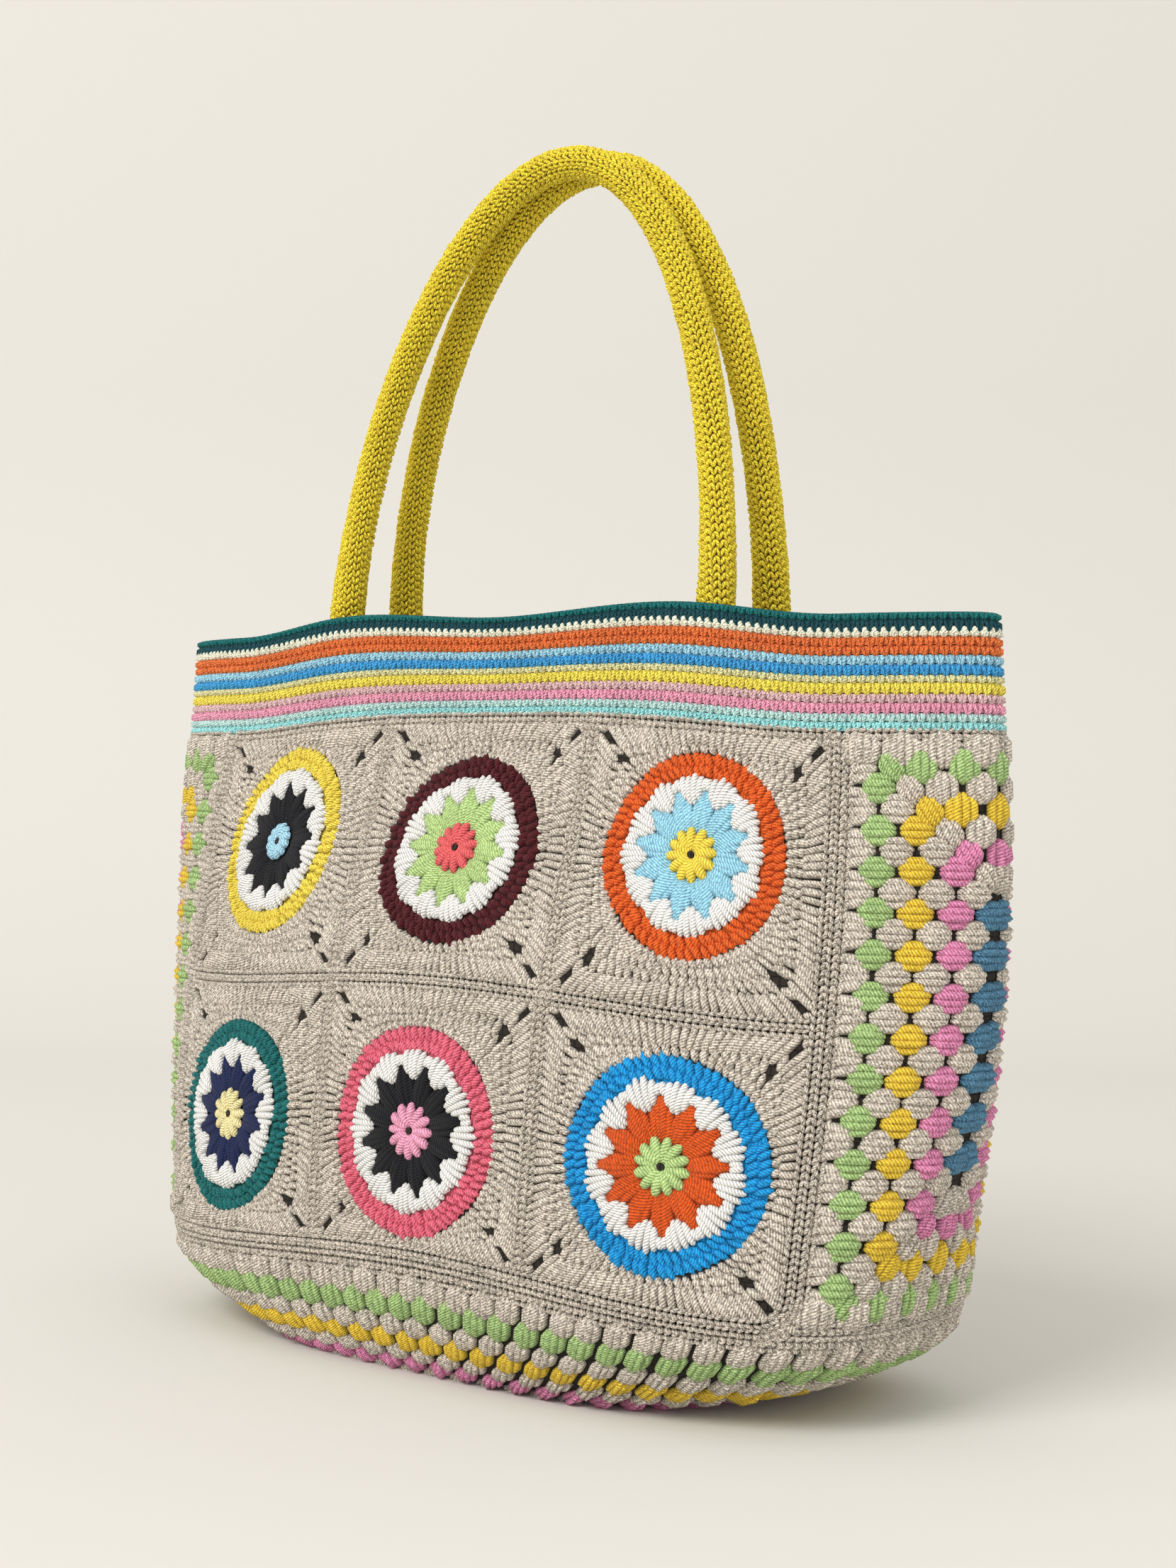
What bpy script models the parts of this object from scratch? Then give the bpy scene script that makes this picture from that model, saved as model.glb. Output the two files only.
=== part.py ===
"""Crochet shoulder bag made of joined granny squares, standing upright, in metres with +Z up.

The front faces -Y. The wall of the bag is one soft surface. A point on it is
named by its distance around the bag from the middle of the front and by its
level, and every cloth piece is a patch of that surface with a real thickness.
"""
import math
import bpy
import bmesh
import numpy as np

# Driving sizes
SQUARE = 0.132                      # one granny square
SQUARES_ACROSS = 3
SQUARES_HIGH = 2
GUSSET_WIDTH = 0.150                # side panel between the front and back seams
WALL = 0.004                        # thickness of the crochet
GAP = 0.0003                        # clearance between neighbouring pieces
ROW_RISE = 0.975 * SQUARE           # standing height of one row of squares
SEAM_HEIGHT = 0.43 * SQUARE         # bottom edge of the squares above the floor
BAND_HEIGHT = 0.385 * SQUARE        # striped band above the squares
TUBE_RADIUS = 0.0078                # knitted handle
HANDLE_SPREAD = 0.91 * SQUARE       # from the middle of the bag to a handle foot
HANDLE_RISE = 1.70 * SQUARE         # rim to the middle of the tube at its top
HANDLE_TUCK = 0.70 * BAND_HEIGHT    # length of a handle foot sewn inside the band

# Derived sizes
FRONT_WIDTH = SQUARES_ACROSS * SQUARE
PANEL_HEIGHT = SQUARES_HIGH * SQUARE
GIRTH = 2 * (FRONT_WIDTH + GUSSET_WIDTH)
TOP_SEAM = SEAM_HEIGHT + SQUARES_HIGH * ROW_RISE
RIM = TOP_SEAM + BAND_HEIGHT
STRETCH = ROW_RISE / SQUARE         # standing height gained by a length of panel
SEAM_HALF = 0.015 * SQUARE          # half width of a seam between two squares
RIDGE_HALF = 0.030 * SQUARE         # half width of the double chain around a panel
RELIEF = 0.4 * WALL                 # how far a chain ridge stands proud
RIDGE_FOOT = 0.3 * RELIEF           # its rise at both edges
MOTIF_RELIEF = 0.2 * WALL
QUARTER = 0.25 * GIRTH              # from the middle of the front to a side

# Level section of the bag at several heights above the bottom seam.
# height: share of the wall. half_width: share of FRONT_WIDTH.
# half_depth: share of GUSSET_WIDTH. roundness: exponent of the oval.
SECTIONS = (
    {"height": 0.00, "half_width": 0.563, "half_depth": 0.633, "roundness": 3.1},
    {"height": 0.45, "half_width": 0.643, "half_depth": 0.540, "roundness": 2.05},
    {"height": 0.85, "half_width": 0.648, "half_depth": 0.287, "roundness": 2.3},
    {"height": 1.00, "half_width": 0.641, "half_depth": 0.260, "roundness": 2.3},
)
FOOTPRINT = {"half_width": 0.270, "half_depth": 0.480, "roundness": 4.0}

# The panels hang between their corners, so each level sags towards the side seams.
MID_LIFT = 0.02 * SQUARE
CORNER_SAG = 0.06 * SQUARE

# The rim is drawn up where the handles are sewn in. along: squares from the middle of
# the front. lift: share of SQUARE, fading out down the wall.
RIM_WAVE = (
    {"along": 0.00, "lift": -0.030},
    {"along": 0.92, "lift": 0.049},
    {"along": 1.50, "lift": 0.019},
)
WAVE_START = 0.6                    # level where the wave begins
WRAP_FLATNESS = 0.5                 # the bottom edge is flatter under the gussets than a round

# Handles: side of the bag, and how far the top leans along the bag as a share of SQUARE.
HANDLES = (
    {"name": "front_handle", "side": -1, "lean": 0.10},
    {"name": "back_handle", "side": 1, "lean": 0.14},
)
ARCH_FULLNESS = 1.8                 # exponents of the hairpin outline of a handle
ARCH_ROUNDNESS = 0.5
FOOT_FLARE = 1.12                   # a sewn foot is a little fatter than the tube
FLARE_SHARE = 0.2                   # share of the rise over which the flare fades
LEAN_CURVE = 1.5                    # a handle leans more towards its top
HANDLE_POINTS = 25
TUCK_POINTS = 4
FOOT_SAMPLES = 80
TUBE_RESOLUTION = 3

# Mesh density
OVAL_SAMPLES = 400
CIRCLE_SIDES = 24
BAND_SIDES = 64
BOTTOM_SIDES = 48
SEAM_STEPS = 8
CROSS_STEPS = 4
RIDGE_STEPS = 14
GUSSET_COLUMNS = 8
GUSSET_ROWS = 14
BOTTOM_LEVELS = (-1.5, -1.0, -0.8, -0.55, -0.3)
BOTTOM_CENTRE = -2.0
MOTIF_RINGS = (1.0, 0.6)            # shares of the motif's radius
SHARP_ANGLE = math.radians(40)
SLOPE_STEP = 1e-4
LENGTH_DIGITS = 9

SIDES = {"front": 0.0, "back": 2 * QUARTER}
GUSSETS = {"right_gusset": QUARTER, "left_gusset": 3 * QUARTER}
COLUMNS = ("left", "middle", "right")
ROWS = ("bottom", "top")

# Yarn colours, linear
YARN = {
    "greige": (0.40, 0.34, 0.27),
    "mustard": (0.55, 0.42, 0.04),
    "yellow": (0.85, 0.58, 0.05),
    "maroon": (0.10, 0.02, 0.03),
    "orange": (0.80, 0.22, 0.03),
    "teal": (0.02, 0.22, 0.22),
    "coral": (0.75, 0.15, 0.20),
    "sky": (0.04, 0.32, 0.70),
}
CLOTH_ROUGHNESS = 0.9

# Round motif of each square. shift: from the middle of the square, across and up.
# half: half width and half height. Both are shares of SQUARE.
MOTIFS = {
    ("top", "left"): {"yarn": "yellow", "shift": (-0.011, 0.044), "half": (0.345, 0.372)},
    ("top", "middle"): {"yarn": "maroon", "shift": (-0.008, -0.014), "half": (0.372, 0.355)},
    ("top", "right"): {"yarn": "orange", "shift": (-0.008, 0.048), "half": (0.354, 0.360)},
    ("bottom", "left"): {"yarn": "teal", "shift": (-0.034, -0.032), "half": (0.366, 0.380)},
    ("bottom", "middle"): {"yarn": "coral", "shift": (-0.028, -0.050), "half": (0.380, 0.392)},
    ("bottom", "right"): {"yarn": "sky", "shift": (0.022, -0.007), "half": (0.380, 0.380)},
}


def clear_scene():
    for item in list(bpy.data.objects):
        bpy.data.objects.remove(item, do_unlink=True)


def make_material(name, colour):
    material = bpy.data.materials.new(name)
    material.use_nodes = True
    shader = material.node_tree.nodes["Principled BSDF"]
    shader.inputs["Base Color"].default_value = (*colour, 1.0)
    shader.inputs["Roughness"].default_value = CLOTH_ROUGHNESS
    shader.inputs["Metallic"].default_value = 0.0
    return material


def section_at(share):
    """Half width, half depth and roundness of the level section, smooth through the table."""
    heights = np.array([row["height"] for row in SECTIONS])
    values = np.array([[row["half_width"] * FRONT_WIDTH,
                        row["half_depth"] * GUSSET_WIDTH,
                        row["roundness"]] for row in SECTIONS])
    slopes = np.gradient(values, heights, axis=0)
    index = int(np.clip(np.searchsorted(heights, share) - 1, 0, len(heights) - 2))
    span = heights[index + 1] - heights[index]
    t = (share - heights[index]) / span
    return ((1 + 2 * t) * (1 - t) ** 2 * values[index]
            + t * (1 - t) ** 2 * span * slopes[index]
            + t * t * (3 - 2 * t) * values[index + 1]
            + t * t * (t - 1) * span * slopes[index + 1])


def around_oval(half_width, half_depth, roundness, arcs):
    """Points of an oval at distances around the bag from the middle of its front."""
    angle = np.linspace(0.0, math.pi / 2, OVAL_SAMPLES)
    x = half_width * np.sin(angle) ** (2 / roundness)
    y = half_depth * np.cos(angle) ** (2 / roundness)
    run = np.concatenate([[0.0], np.cumsum(np.hypot(np.diff(x), np.diff(y)))])
    quarters = np.mod(np.asarray(arcs, float), GIRTH) / QUARTER
    sector = np.floor(quarters).astype(int) % 4
    part = quarters - np.floor(quarters)
    part = np.where(sector % 2 == 1, 1 - part, part) * run[-1]
    return (np.interp(part, run, x) * np.where(sector < 2, 1, -1),
            np.interp(part, run, y) * np.where((sector == 1) | (sector == 2), 1, -1))


def rim_wave(to_front):
    """Rise of the rim at distances from the middle of the front or back."""
    spots = np.array([row["along"] for row in RIM_WAVE]) * SQUARE
    lifts = np.array([row["lift"] for row in RIM_WAVE]) * SQUARE
    index = np.clip(np.searchsorted(spots, to_front) - 1, 0, len(spots) - 2)
    t = np.clip((to_front - spots[index]) / (spots[index + 1] - spots[index]), 0, 1)
    return lifts[index] + (lifts[index + 1] - lifts[index]) * t * t * (3 - 2 * t)


def surface(arcs, level):
    """Outer surface at one level: 0 to 1 up the wall, 0 to -1 around the bottom edge, then flat."""
    arcs = np.asarray(arcs, float)
    x, y = around_oval(*section_at(max(level, 0.0)), arcs)
    to_front = np.abs(np.mod(arcs + QUARTER, 2 * QUARTER) - QUARTER)
    bow = np.sin(0.5 * math.pi * np.clip(2 * to_front / FRONT_WIDTH, 0, 1)) ** 2
    sag = MID_LIFT - (MID_LIFT + CORNER_SAG) * bow
    drawn = max((level - WAVE_START) / (1 - WAVE_START), 0.0) ** 2
    height = SEAM_HEIGHT + level * (RIM - SEAM_HEIGHT) + sag + drawn * rim_wave(to_front)
    if level < 0:
        foot_x, foot_y = around_oval(FOOTPRINT["half_width"] * FRONT_WIDTH,
                                     FOOTPRINT["half_depth"] * GUSSET_WIDTH,
                                     FOOTPRINT["roundness"], arcs)
        turn = 0.5 * math.pi * min(-level, 1.0)
        inward = max(math.cos(turn), 0.0) ** (1 + WRAP_FLATNESS * bow ** 3)
        height = (SEAM_HEIGHT + sag) * (1 - math.sin(turn))
        x = foot_x + (x - foot_x) * inward
        y = foot_y + (y - foot_y) * inward
        if level < -1:
            x = foot_x * (level - BOTTOM_CENTRE)
            y = foot_y * (level - BOTTOM_CENTRE)
    return np.stack([x, y, height], axis=-1)


def wall_points(arcs, level, raise_by):
    """Points of the surface, pushed out along its normal by raise_by."""
    arcs = np.asarray(arcs, float)
    middle = surface(arcs, level)
    if level <= -1:
        return middle + np.array([0.0, 0.0, -1.0]) * np.reshape(raise_by, (-1, 1))
    along = surface(arcs + SLOPE_STEP, level) - surface(arcs - SLOPE_STEP, level)
    low = max(level - SLOPE_STEP, -1.0)
    high = min(level + SLOPE_STEP, 1.0)
    if level == 0:
        low = level
    up = surface(arcs, high) - surface(arcs, low)
    normal = np.cross(along, up)
    normal /= np.linalg.norm(normal, axis=-1, keepdims=True)
    return middle + normal * np.reshape(raise_by, (-1, 1))


def level_of(length):
    """Level at a length up the panel from the bottom seam."""
    if length >= 0:
        return length * STRETCH / (RIM - SEAM_HEIGHT)
    return -math.asin(-length / SEAM_HEIGHT) / (0.5 * math.pi)


def cloth_piece(name, points, faces, material, collection):
    """Closed piece of cloth. Each point is (distance around, length up, rise over the surface)."""
    levels = [point[1] for point in points]
    outer = np.zeros((len(points), 3))
    inner = np.zeros((len(points), 3))
    for level in sorted(set(levels)):
        chosen = [i for i, value in enumerate(levels) if value == level]
        arcs = [points[i][0] for i in chosen]
        outer[chosen] = wall_points(arcs, level, [points[i][2] for i in chosen])
        inner[chosen] = wall_points(arcs, level, [-WALL] * len(chosen))
    count = len(points)
    used = {}
    for face in faces:
        for start, end in zip(face, face[1:] + face[:1]):
            used[(start, end)] = True
    skin = [tuple(face) for face in faces]
    skin += [tuple(corner + count for corner in reversed(face)) for face in faces]
    skin += [(end, start, start + count, end + count)
             for start, end in used if (end, start) not in used]
    mesh = bpy.data.meshes.new(name)
    mesh.from_pydata([tuple(p) for p in np.concatenate([outer, inner])], [], skin)
    build = bmesh.new()
    build.from_mesh(mesh)
    bmesh.ops.triangulate(build, faces=build.faces[:])
    bmesh.ops.recalc_face_normals(build, faces=build.faces[:])
    build.to_mesh(mesh)
    build.free()
    mesh.materials.append(material)
    mesh.shade_smooth()
    mesh.set_sharp_from_angle(angle=SHARP_ANGLE)
    item = bpy.data.objects.new(name, mesh)
    collection.objects.link(item)
    return item


def grid_faces(columns, rows, closed=False):
    """Faces of a grid of points listed row by row; closed joins its last column to the first."""
    last = columns if closed else columns - 1
    return [[row * columns + col,
             row * columns + (col + 1) % columns,
             (row + 1) * columns + (col + 1) % columns,
             (row + 1) * columns + col]
            for row in range(rows - 1) for col in range(last)]


def grid_piece(name, arcs, levels, rises, material, collection, closed=False):
    """Grid of cloth; rises holds one value for each level."""
    points = [(arc, level, rise) for level, rise in zip(levels, rises) for arc in arcs]
    return cloth_piece(name, points, grid_faces(len(arcs), len(levels), closed),
                       material, collection)


def square_edge(step):
    """Point on the edge of a unit square, from corner to corner, for a step of CIRCLE_SIDES."""
    side, part = divmod(step * 4 / CIRCLE_SIDES, 1)
    run = math.tan((part - 0.5) * math.pi / 2)
    return ((-run, 1.0), (-1.0, -run), (run, -1.0), (1.0, run))[int(side) % 4]


def granny_square(side, row, column, yarns, collection):
    """A square with a round opening, and the round motif that fills it."""
    centre = SIDES[side] + (column - 0.5 * (SQUARES_ACROSS - 1)) * SQUARE
    middle = (row + 0.5) * SQUARE
    place = f"{ROWS[row]}_{COLUMNS[column]}"
    left = -0.5 * SQUARE + GAP + (RIDGE_HALF if column == 0 else SEAM_HALF)
    right = 0.5 * SQUARE - GAP - (RIDGE_HALF if column == SQUARES_ACROSS - 1 else SEAM_HALF)
    bottom = -0.5 * SQUARE + GAP + (RIDGE_HALF if row == 0 else SEAM_HALF)
    top = 0.5 * SQUARE - GAP - (0.0 if row == SQUARES_HIGH - 1 else SEAM_HALF)
    motif = MOTIFS[(ROWS[row], COLUMNS[column])]
    motif_centre = centre + motif["shift"][0] * SQUARE
    motif_middle = middle + motif["shift"][1] * SQUARE
    half_x = motif["half"][0] * SQUARE
    half_y = motif["half"][1] * SQUARE
    turns = [2 * math.pi * (step / CIRCLE_SIDES + 1 / 8) for step in range(CIRCLE_SIDES)]
    points = []
    for step, turn in enumerate(turns):
        across, up = square_edge(step)
        edge_x = across * (right if across > 0 else -left)
        edge_y = up * (top if up > 0 else -bottom)
        points.append((motif_centre + (half_x + GAP) * math.cos(turn),
                       level_of(motif_middle + (half_y + GAP) * math.sin(turn)), 0.0))
        points.append((centre + edge_x, level_of(middle + edge_y), 0.0))
    faces = [[2 * i, 2 * i + 1, (2 * i + 3) % len(points), (2 * i + 2) % len(points)]
             for i in range(CIRCLE_SIDES)]
    cloth_piece(f"{side}_square_{place}", points, faces, yarns["greige"], collection)

    points = [(motif_centre + share * half_x * math.cos(turn),
               level_of(motif_middle + share * half_y * math.sin(turn)), MOTIF_RELIEF)
              for share in MOTIF_RINGS for turn in turns]
    faces = grid_faces(CIRCLE_SIDES, len(MOTIF_RINGS), closed=True)
    points.append((motif_centre, level_of(motif_middle), MOTIF_RELIEF))
    inner = (len(MOTIF_RINGS) - 1) * CIRCLE_SIDES
    faces += [[inner + i, inner + (i + 1) % CIRCLE_SIDES, len(points) - 1]
              for i in range(CIRCLE_SIDES)]
    cloth_piece(f"{side}_motif_{place}", points, faces, yarns[motif["yarn"]], collection)


def strip_piece(name, path, half, material, collection):
    """Rounded ridge along a path of (arc, length) points on a panel, with mitred corners."""
    points = []
    for i, here in enumerate(path):
        before = np.subtract(here, path[max(i - 1, 0)])
        after = np.subtract(path[min(i + 1, len(path) - 1)], here)
        sides = [np.array([-step[1], step[0]]) / np.linalg.norm(step)
                 for step in (before, after) if np.linalg.norm(step) > 0]
        offset = np.sum(sides, axis=0)
        offset *= half * len(sides) / np.dot(offset, offset) if len(sides) == 2 else half
        for share, rise in ((-1, RIDGE_FOOT), (0, RELIEF), (1, RIDGE_FOOT)):
            spot = np.asarray(here) + share * offset
            points.append((float(spot[0]), level_of(round(float(spot[1]), LENGTH_DIGITS)), rise))
    return cloth_piece(name, points, grid_faces(3, len(path)), material, collection)


def straight(start, end, count):
    return [tuple(np.add(start, np.subtract(end, start) * i / count)) for i in range(count + 1)]


def panel_seams(side, material, collection):
    """Ridges between the squares of a panel, and the double chain around three of its edges."""
    centre = SIDES[side]
    lowest = RIDGE_HALF + GAP
    highest = PANEL_HEIGHT - GAP
    joins = [centre + (i + 1 - 0.5 * SQUARES_ACROSS) * SQUARE for i in range(SQUARES_ACROSS - 1)]
    for name, arc in zip(("left", "right"), joins):
        strip_piece(f"{side}_upright_seam_{name}",
                    straight((arc, lowest), (arc, highest), SEAM_STEPS), SEAM_HALF,
                    material, collection)
    outer = 0.5 * FRONT_WIDTH - RIDGE_HALF - GAP
    cuts = ([centre - outer]
            + [value for arc in joins
               for value in (arc - SEAM_HALF - GAP, arc + SEAM_HALF + GAP)]
            + [centre + outer])
    for index, column in enumerate(COLUMNS):
        start, end = cuts[2 * index], cuts[2 * index + 1]
        strip_piece(f"{side}_cross_seam_{column}",
                    straight((start, SQUARE), (end, SQUARE), CROSS_STEPS), SEAM_HALF,
                    material, collection)
    left = centre - 0.5 * FRONT_WIDTH
    right = centre + 0.5 * FRONT_WIDTH
    path = (straight((left, highest), (left, 0.0), SEAM_STEPS)
            + straight((left, 0.0), (right, 0.0), RIDGE_STEPS)[1:]
            + straight((right, 0.0), (right, highest), SEAM_STEPS)[1:])
    strip_piece(f"{side}_edge_ridge", path, RIDGE_HALF, material, collection)


def gusset(name, centre, material, collection):
    half = 0.5 * GUSSET_WIDTH - RIDGE_HALF - GAP
    arcs = [centre + half * (2 * i / GUSSET_COLUMNS - 1) for i in range(GUSSET_COLUMNS + 1)]
    low = -RIDGE_HALF
    high = PANEL_HEIGHT - GAP
    levels = [level_of(low + (high - low) * i / GUSSET_ROWS) for i in range(GUSSET_ROWS + 1)]
    grid_piece(name, arcs, levels, [0.0] * len(levels), material, collection)


def bottom_panel(material, collection):
    arcs = [GIRTH * i / BOTTOM_SIDES for i in range(BOTTOM_SIDES)]
    top = level_of(-RIDGE_HALF - GAP)
    levels = [*BOTTOM_LEVELS, top]
    points = [(arc, level, 0.0) for level in levels for arc in arcs]
    faces = grid_faces(BOTTOM_SIDES, len(levels), closed=True)
    points.append((0.0, BOTTOM_CENTRE, 0.0))
    faces += [[(i + 1) % BOTTOM_SIDES, i, len(points) - 1] for i in range(BOTTOM_SIDES)]
    cloth_piece("bottom_panel", points, faces, material, collection)


def top_band(material, collection):
    arcs = [GIRTH * i / BAND_SIDES for i in range(BAND_SIDES)]
    low = level_of(PANEL_HEIGHT + GAP)
    levels = [low, low + 0.5 * (1 - low), 1.0]
    grid_piece("top_band", arcs, levels, [0.0, 0.0, 0.0], material, collection, closed=True)


def foot_point(level):
    """Depth and height of the middle of a handle foot that rests on the inside of the wall."""
    radius = TUBE_RADIUS * FOOT_FLARE
    arcs = np.linspace(0.0, 0.5 * FRONT_WIDTH, FOOT_SAMPLES)
    middles = wall_points(arcs, level, [-(WALL + radius + 2 * GAP)] * FOOT_SAMPLES)
    return (float(np.interp(HANDLE_SPREAD, middles[:, 0], -middles[:, 1])),
            float(np.interp(HANDLE_SPREAD, middles[:, 0], middles[:, 2])))


def handle(row, material, collection):
    """Hairpin tube whose two feet stand inside the band."""
    top_depth = TUBE_RADIUS + GAP
    levels = [1 - HANDLE_TUCK / (RIM - SEAM_HEIGHT) * (1 - i / TUCK_POINTS)
              for i in range(TUCK_POINTS)]
    foot = [(*foot_point(level), FOOT_FLARE) for level in levels]
    foot_depth, foot_height = foot_point(1.0)
    rise = RIM + HANDLE_RISE - foot_height
    path = [(-HANDLE_SPREAD, *point) for point in foot]
    for i in range(HANDLE_POINTS):
        turn = math.pi * i / (HANDLE_POINTS - 1)
        up = abs(math.sin(turn)) ** (2 / ARCH_FULLNESS)
        across = -math.copysign(abs(math.cos(turn)) ** (2 * ARCH_ROUNDNESS), math.cos(turn))
        x = HANDLE_SPREAD * across + row["lean"] * SQUARE * up ** LEAN_CURVE
        depth = foot_depth + (top_depth - foot_depth) * up
        fat = 1 + (FOOT_FLARE - 1) * (1 - min(up / FLARE_SHARE, 1))
        path.append((x, depth, foot_height + rise * up, fat))
    path += [(HANDLE_SPREAD, *point) for point in reversed(foot)]
    curve = bpy.data.curves.new(row["name"], "CURVE")
    curve.dimensions = "3D"
    curve.bevel_depth = TUBE_RADIUS
    curve.bevel_resolution = TUBE_RESOLUTION
    curve.use_fill_caps = True
    spline = curve.splines.new("POLY")
    spline.points.add(len(path) - 1)
    for point, (x, depth, z, fat) in zip(spline.points, path):
        point.co = (x, row["side"] * depth, z, 1.0)
        point.radius = fat
    curve.materials.append(material)
    item = bpy.data.objects.new(row["name"], curve)
    collection.objects.link(item)


def build_bag():
    clear_scene()
    collection = bpy.data.collections.new("crochet_bag")
    bpy.context.scene.collection.children.link(collection)
    yarns = {name: make_material(name, colour) for name, colour in YARN.items()}
    for side in SIDES:
        for row in range(SQUARES_HIGH):
            for column in range(SQUARES_ACROSS):
                granny_square(side, row, column, yarns, collection)
        panel_seams(side, yarns["greige"], collection)
    for name, centre in GUSSETS.items():
        gusset(name, centre, yarns["greige"], collection)
    bottom_panel(yarns["greige"], collection)
    top_band(yarns["greige"], collection)
    for row in HANDLES:
        handle(row, yarns["mustard"], collection)


build_bag()
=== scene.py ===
"""Looks of the crochet bag: every stitch is a small strand laid on the bag's surface."""
import math

import bpy
import numpy as np
from mathutils import Matrix, Vector


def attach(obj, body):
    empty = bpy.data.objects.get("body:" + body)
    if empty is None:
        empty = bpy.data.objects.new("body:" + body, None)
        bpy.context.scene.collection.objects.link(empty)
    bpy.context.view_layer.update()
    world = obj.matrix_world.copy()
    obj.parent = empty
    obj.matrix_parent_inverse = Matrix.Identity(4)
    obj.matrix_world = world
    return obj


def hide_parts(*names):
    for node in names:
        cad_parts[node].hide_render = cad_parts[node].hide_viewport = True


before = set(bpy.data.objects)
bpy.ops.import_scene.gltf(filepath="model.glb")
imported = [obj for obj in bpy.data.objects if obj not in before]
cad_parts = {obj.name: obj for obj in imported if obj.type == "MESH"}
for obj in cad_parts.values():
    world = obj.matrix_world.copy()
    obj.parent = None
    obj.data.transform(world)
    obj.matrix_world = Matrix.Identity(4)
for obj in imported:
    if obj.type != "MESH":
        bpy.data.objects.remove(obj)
NODE_NAMES = list(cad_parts)
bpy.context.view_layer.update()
RNG = np.random.default_rng(7)
MM = 0.001

# Sizes of the bag, in metres
SQUARE = 0.132
FRONT_WIDTH = 3 * SQUARE
PANEL_HEIGHT = 2 * SQUARE
GUSSET_WIDTH = 0.150
GIRTH = 2 * (FRONT_WIDTH + GUSSET_WIDTH)
WALL = 0.004
SEAM_HEIGHT = 0.43 * SQUARE
ROW_RISE = 0.975 * SQUARE
BAND_HEIGHT = 0.385 * SQUARE
TOP_SEAM = SEAM_HEIGHT + 2 * ROW_RISE
RIM = TOP_SEAM + BAND_HEIGHT
TOP = PANEL_HEIGHT + BAND_HEIGHT * SQUARE / ROW_RISE
TUBE_RADIUS = 0.0078
HANDLE_SPREAD = 0.91 * SQUARE
HANDLE_RISE = 1.70 * SQUARE
HANDLE_TUCK = 0.70 * BAND_HEIGHT
WAVE_SPOTS = np.array([0.0, 0.92, 1.50]) * SQUARE
WAVE_LIFTS = np.array([-0.030, 0.049, 0.019]) * SQUARE
WAVE_START = 0.6
WRAP_FLATNESS = 0.5
MID_LIFT = 0.02 * SQUARE
CORNER_SAG = 0.06 * SQUARE

# Steps and reach of the lookups of the bag's surface
OVAL_STEPS = 400
ARC_STEPS = 728
WALL_ROWS = 190
BOTTOM_ARCS = 200
LOWEST_WALL = -0.012
BOTTOM_LEVELS = np.linspace(-1.98, 0.0, 160)

# Half width, half depth and roundness of the bag's section at heights from the bottom seam up
SECTION_HEIGHTS = np.array([0.0, 0.45, 0.85, 1.0])
SECTION_VALUES = (FRONT_WIDTH, GUSSET_WIDTH, 1) * np.array([
    [0.563, 0.633, 3.1], [0.643, 0.540, 2.05], [0.648, 0.287, 2.3], [0.641, 0.260, 2.3]])
FOOT = (0.270 * FRONT_WIDTH, 0.480 * GUSSET_WIDTH, 4.0)


def section_at(share):
    """Half width, half depth and roundness at a share of the height."""
    slopes = np.gradient(SECTION_VALUES, SECTION_HEIGHTS, axis=0)
    index = int(np.clip(np.searchsorted(SECTION_HEIGHTS, share) - 1, 0, 2))
    span = SECTION_HEIGHTS[index + 1] - SECTION_HEIGHTS[index]
    t = (share - SECTION_HEIGHTS[index]) / span
    return ((1 + 2 * t) * (1 - t) ** 2 * SECTION_VALUES[index]
            + t * (1 - t) ** 2 * span * slopes[index]
            + t * t * (3 - 2 * t) * SECTION_VALUES[index + 1]
            + t * t * (t - 1) * span * slopes[index + 1])


def around_oval(half_width, half_depth, roundness, arcs):
    """Points on a superellipse at distances around the bag, from the middle of its front."""
    angle = np.linspace(0.0, math.pi / 2, OVAL_STEPS)
    x = half_width * np.sin(angle) ** (2 / roundness)
    y = half_depth * np.cos(angle) ** (2 / roundness)
    run = np.concatenate([[0.0], np.cumsum(np.hypot(np.diff(x), np.diff(y)))])
    quarters = np.mod(arcs / GIRTH, 1.0) * 4
    sector = np.floor(quarters).astype(int) % 4
    part = quarters - np.floor(quarters)
    part = np.where(sector % 2 == 1, 1 - part, part) * run[-1]
    return (np.interp(part, run, x) * np.where(sector < 2, 1, -1),
            np.interp(part, run, y) * np.where((sector == 1) | (sector == 2), 1, -1))


def rim_wave(to_front):
    """Rise of the rim over its even height, by distance from the middle of a panel."""
    index = np.clip(np.searchsorted(WAVE_SPOTS, to_front) - 1, 0, 1)
    t = np.clip((to_front - WAVE_SPOTS[index]) / (WAVE_SPOTS[index + 1] - WAVE_SPOTS[index]), 0, 1)
    return WAVE_LIFTS[index] + (WAVE_LIFTS[index + 1] - WAVE_LIFTS[index]) * t * t * (3 - 2 * t)


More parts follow.
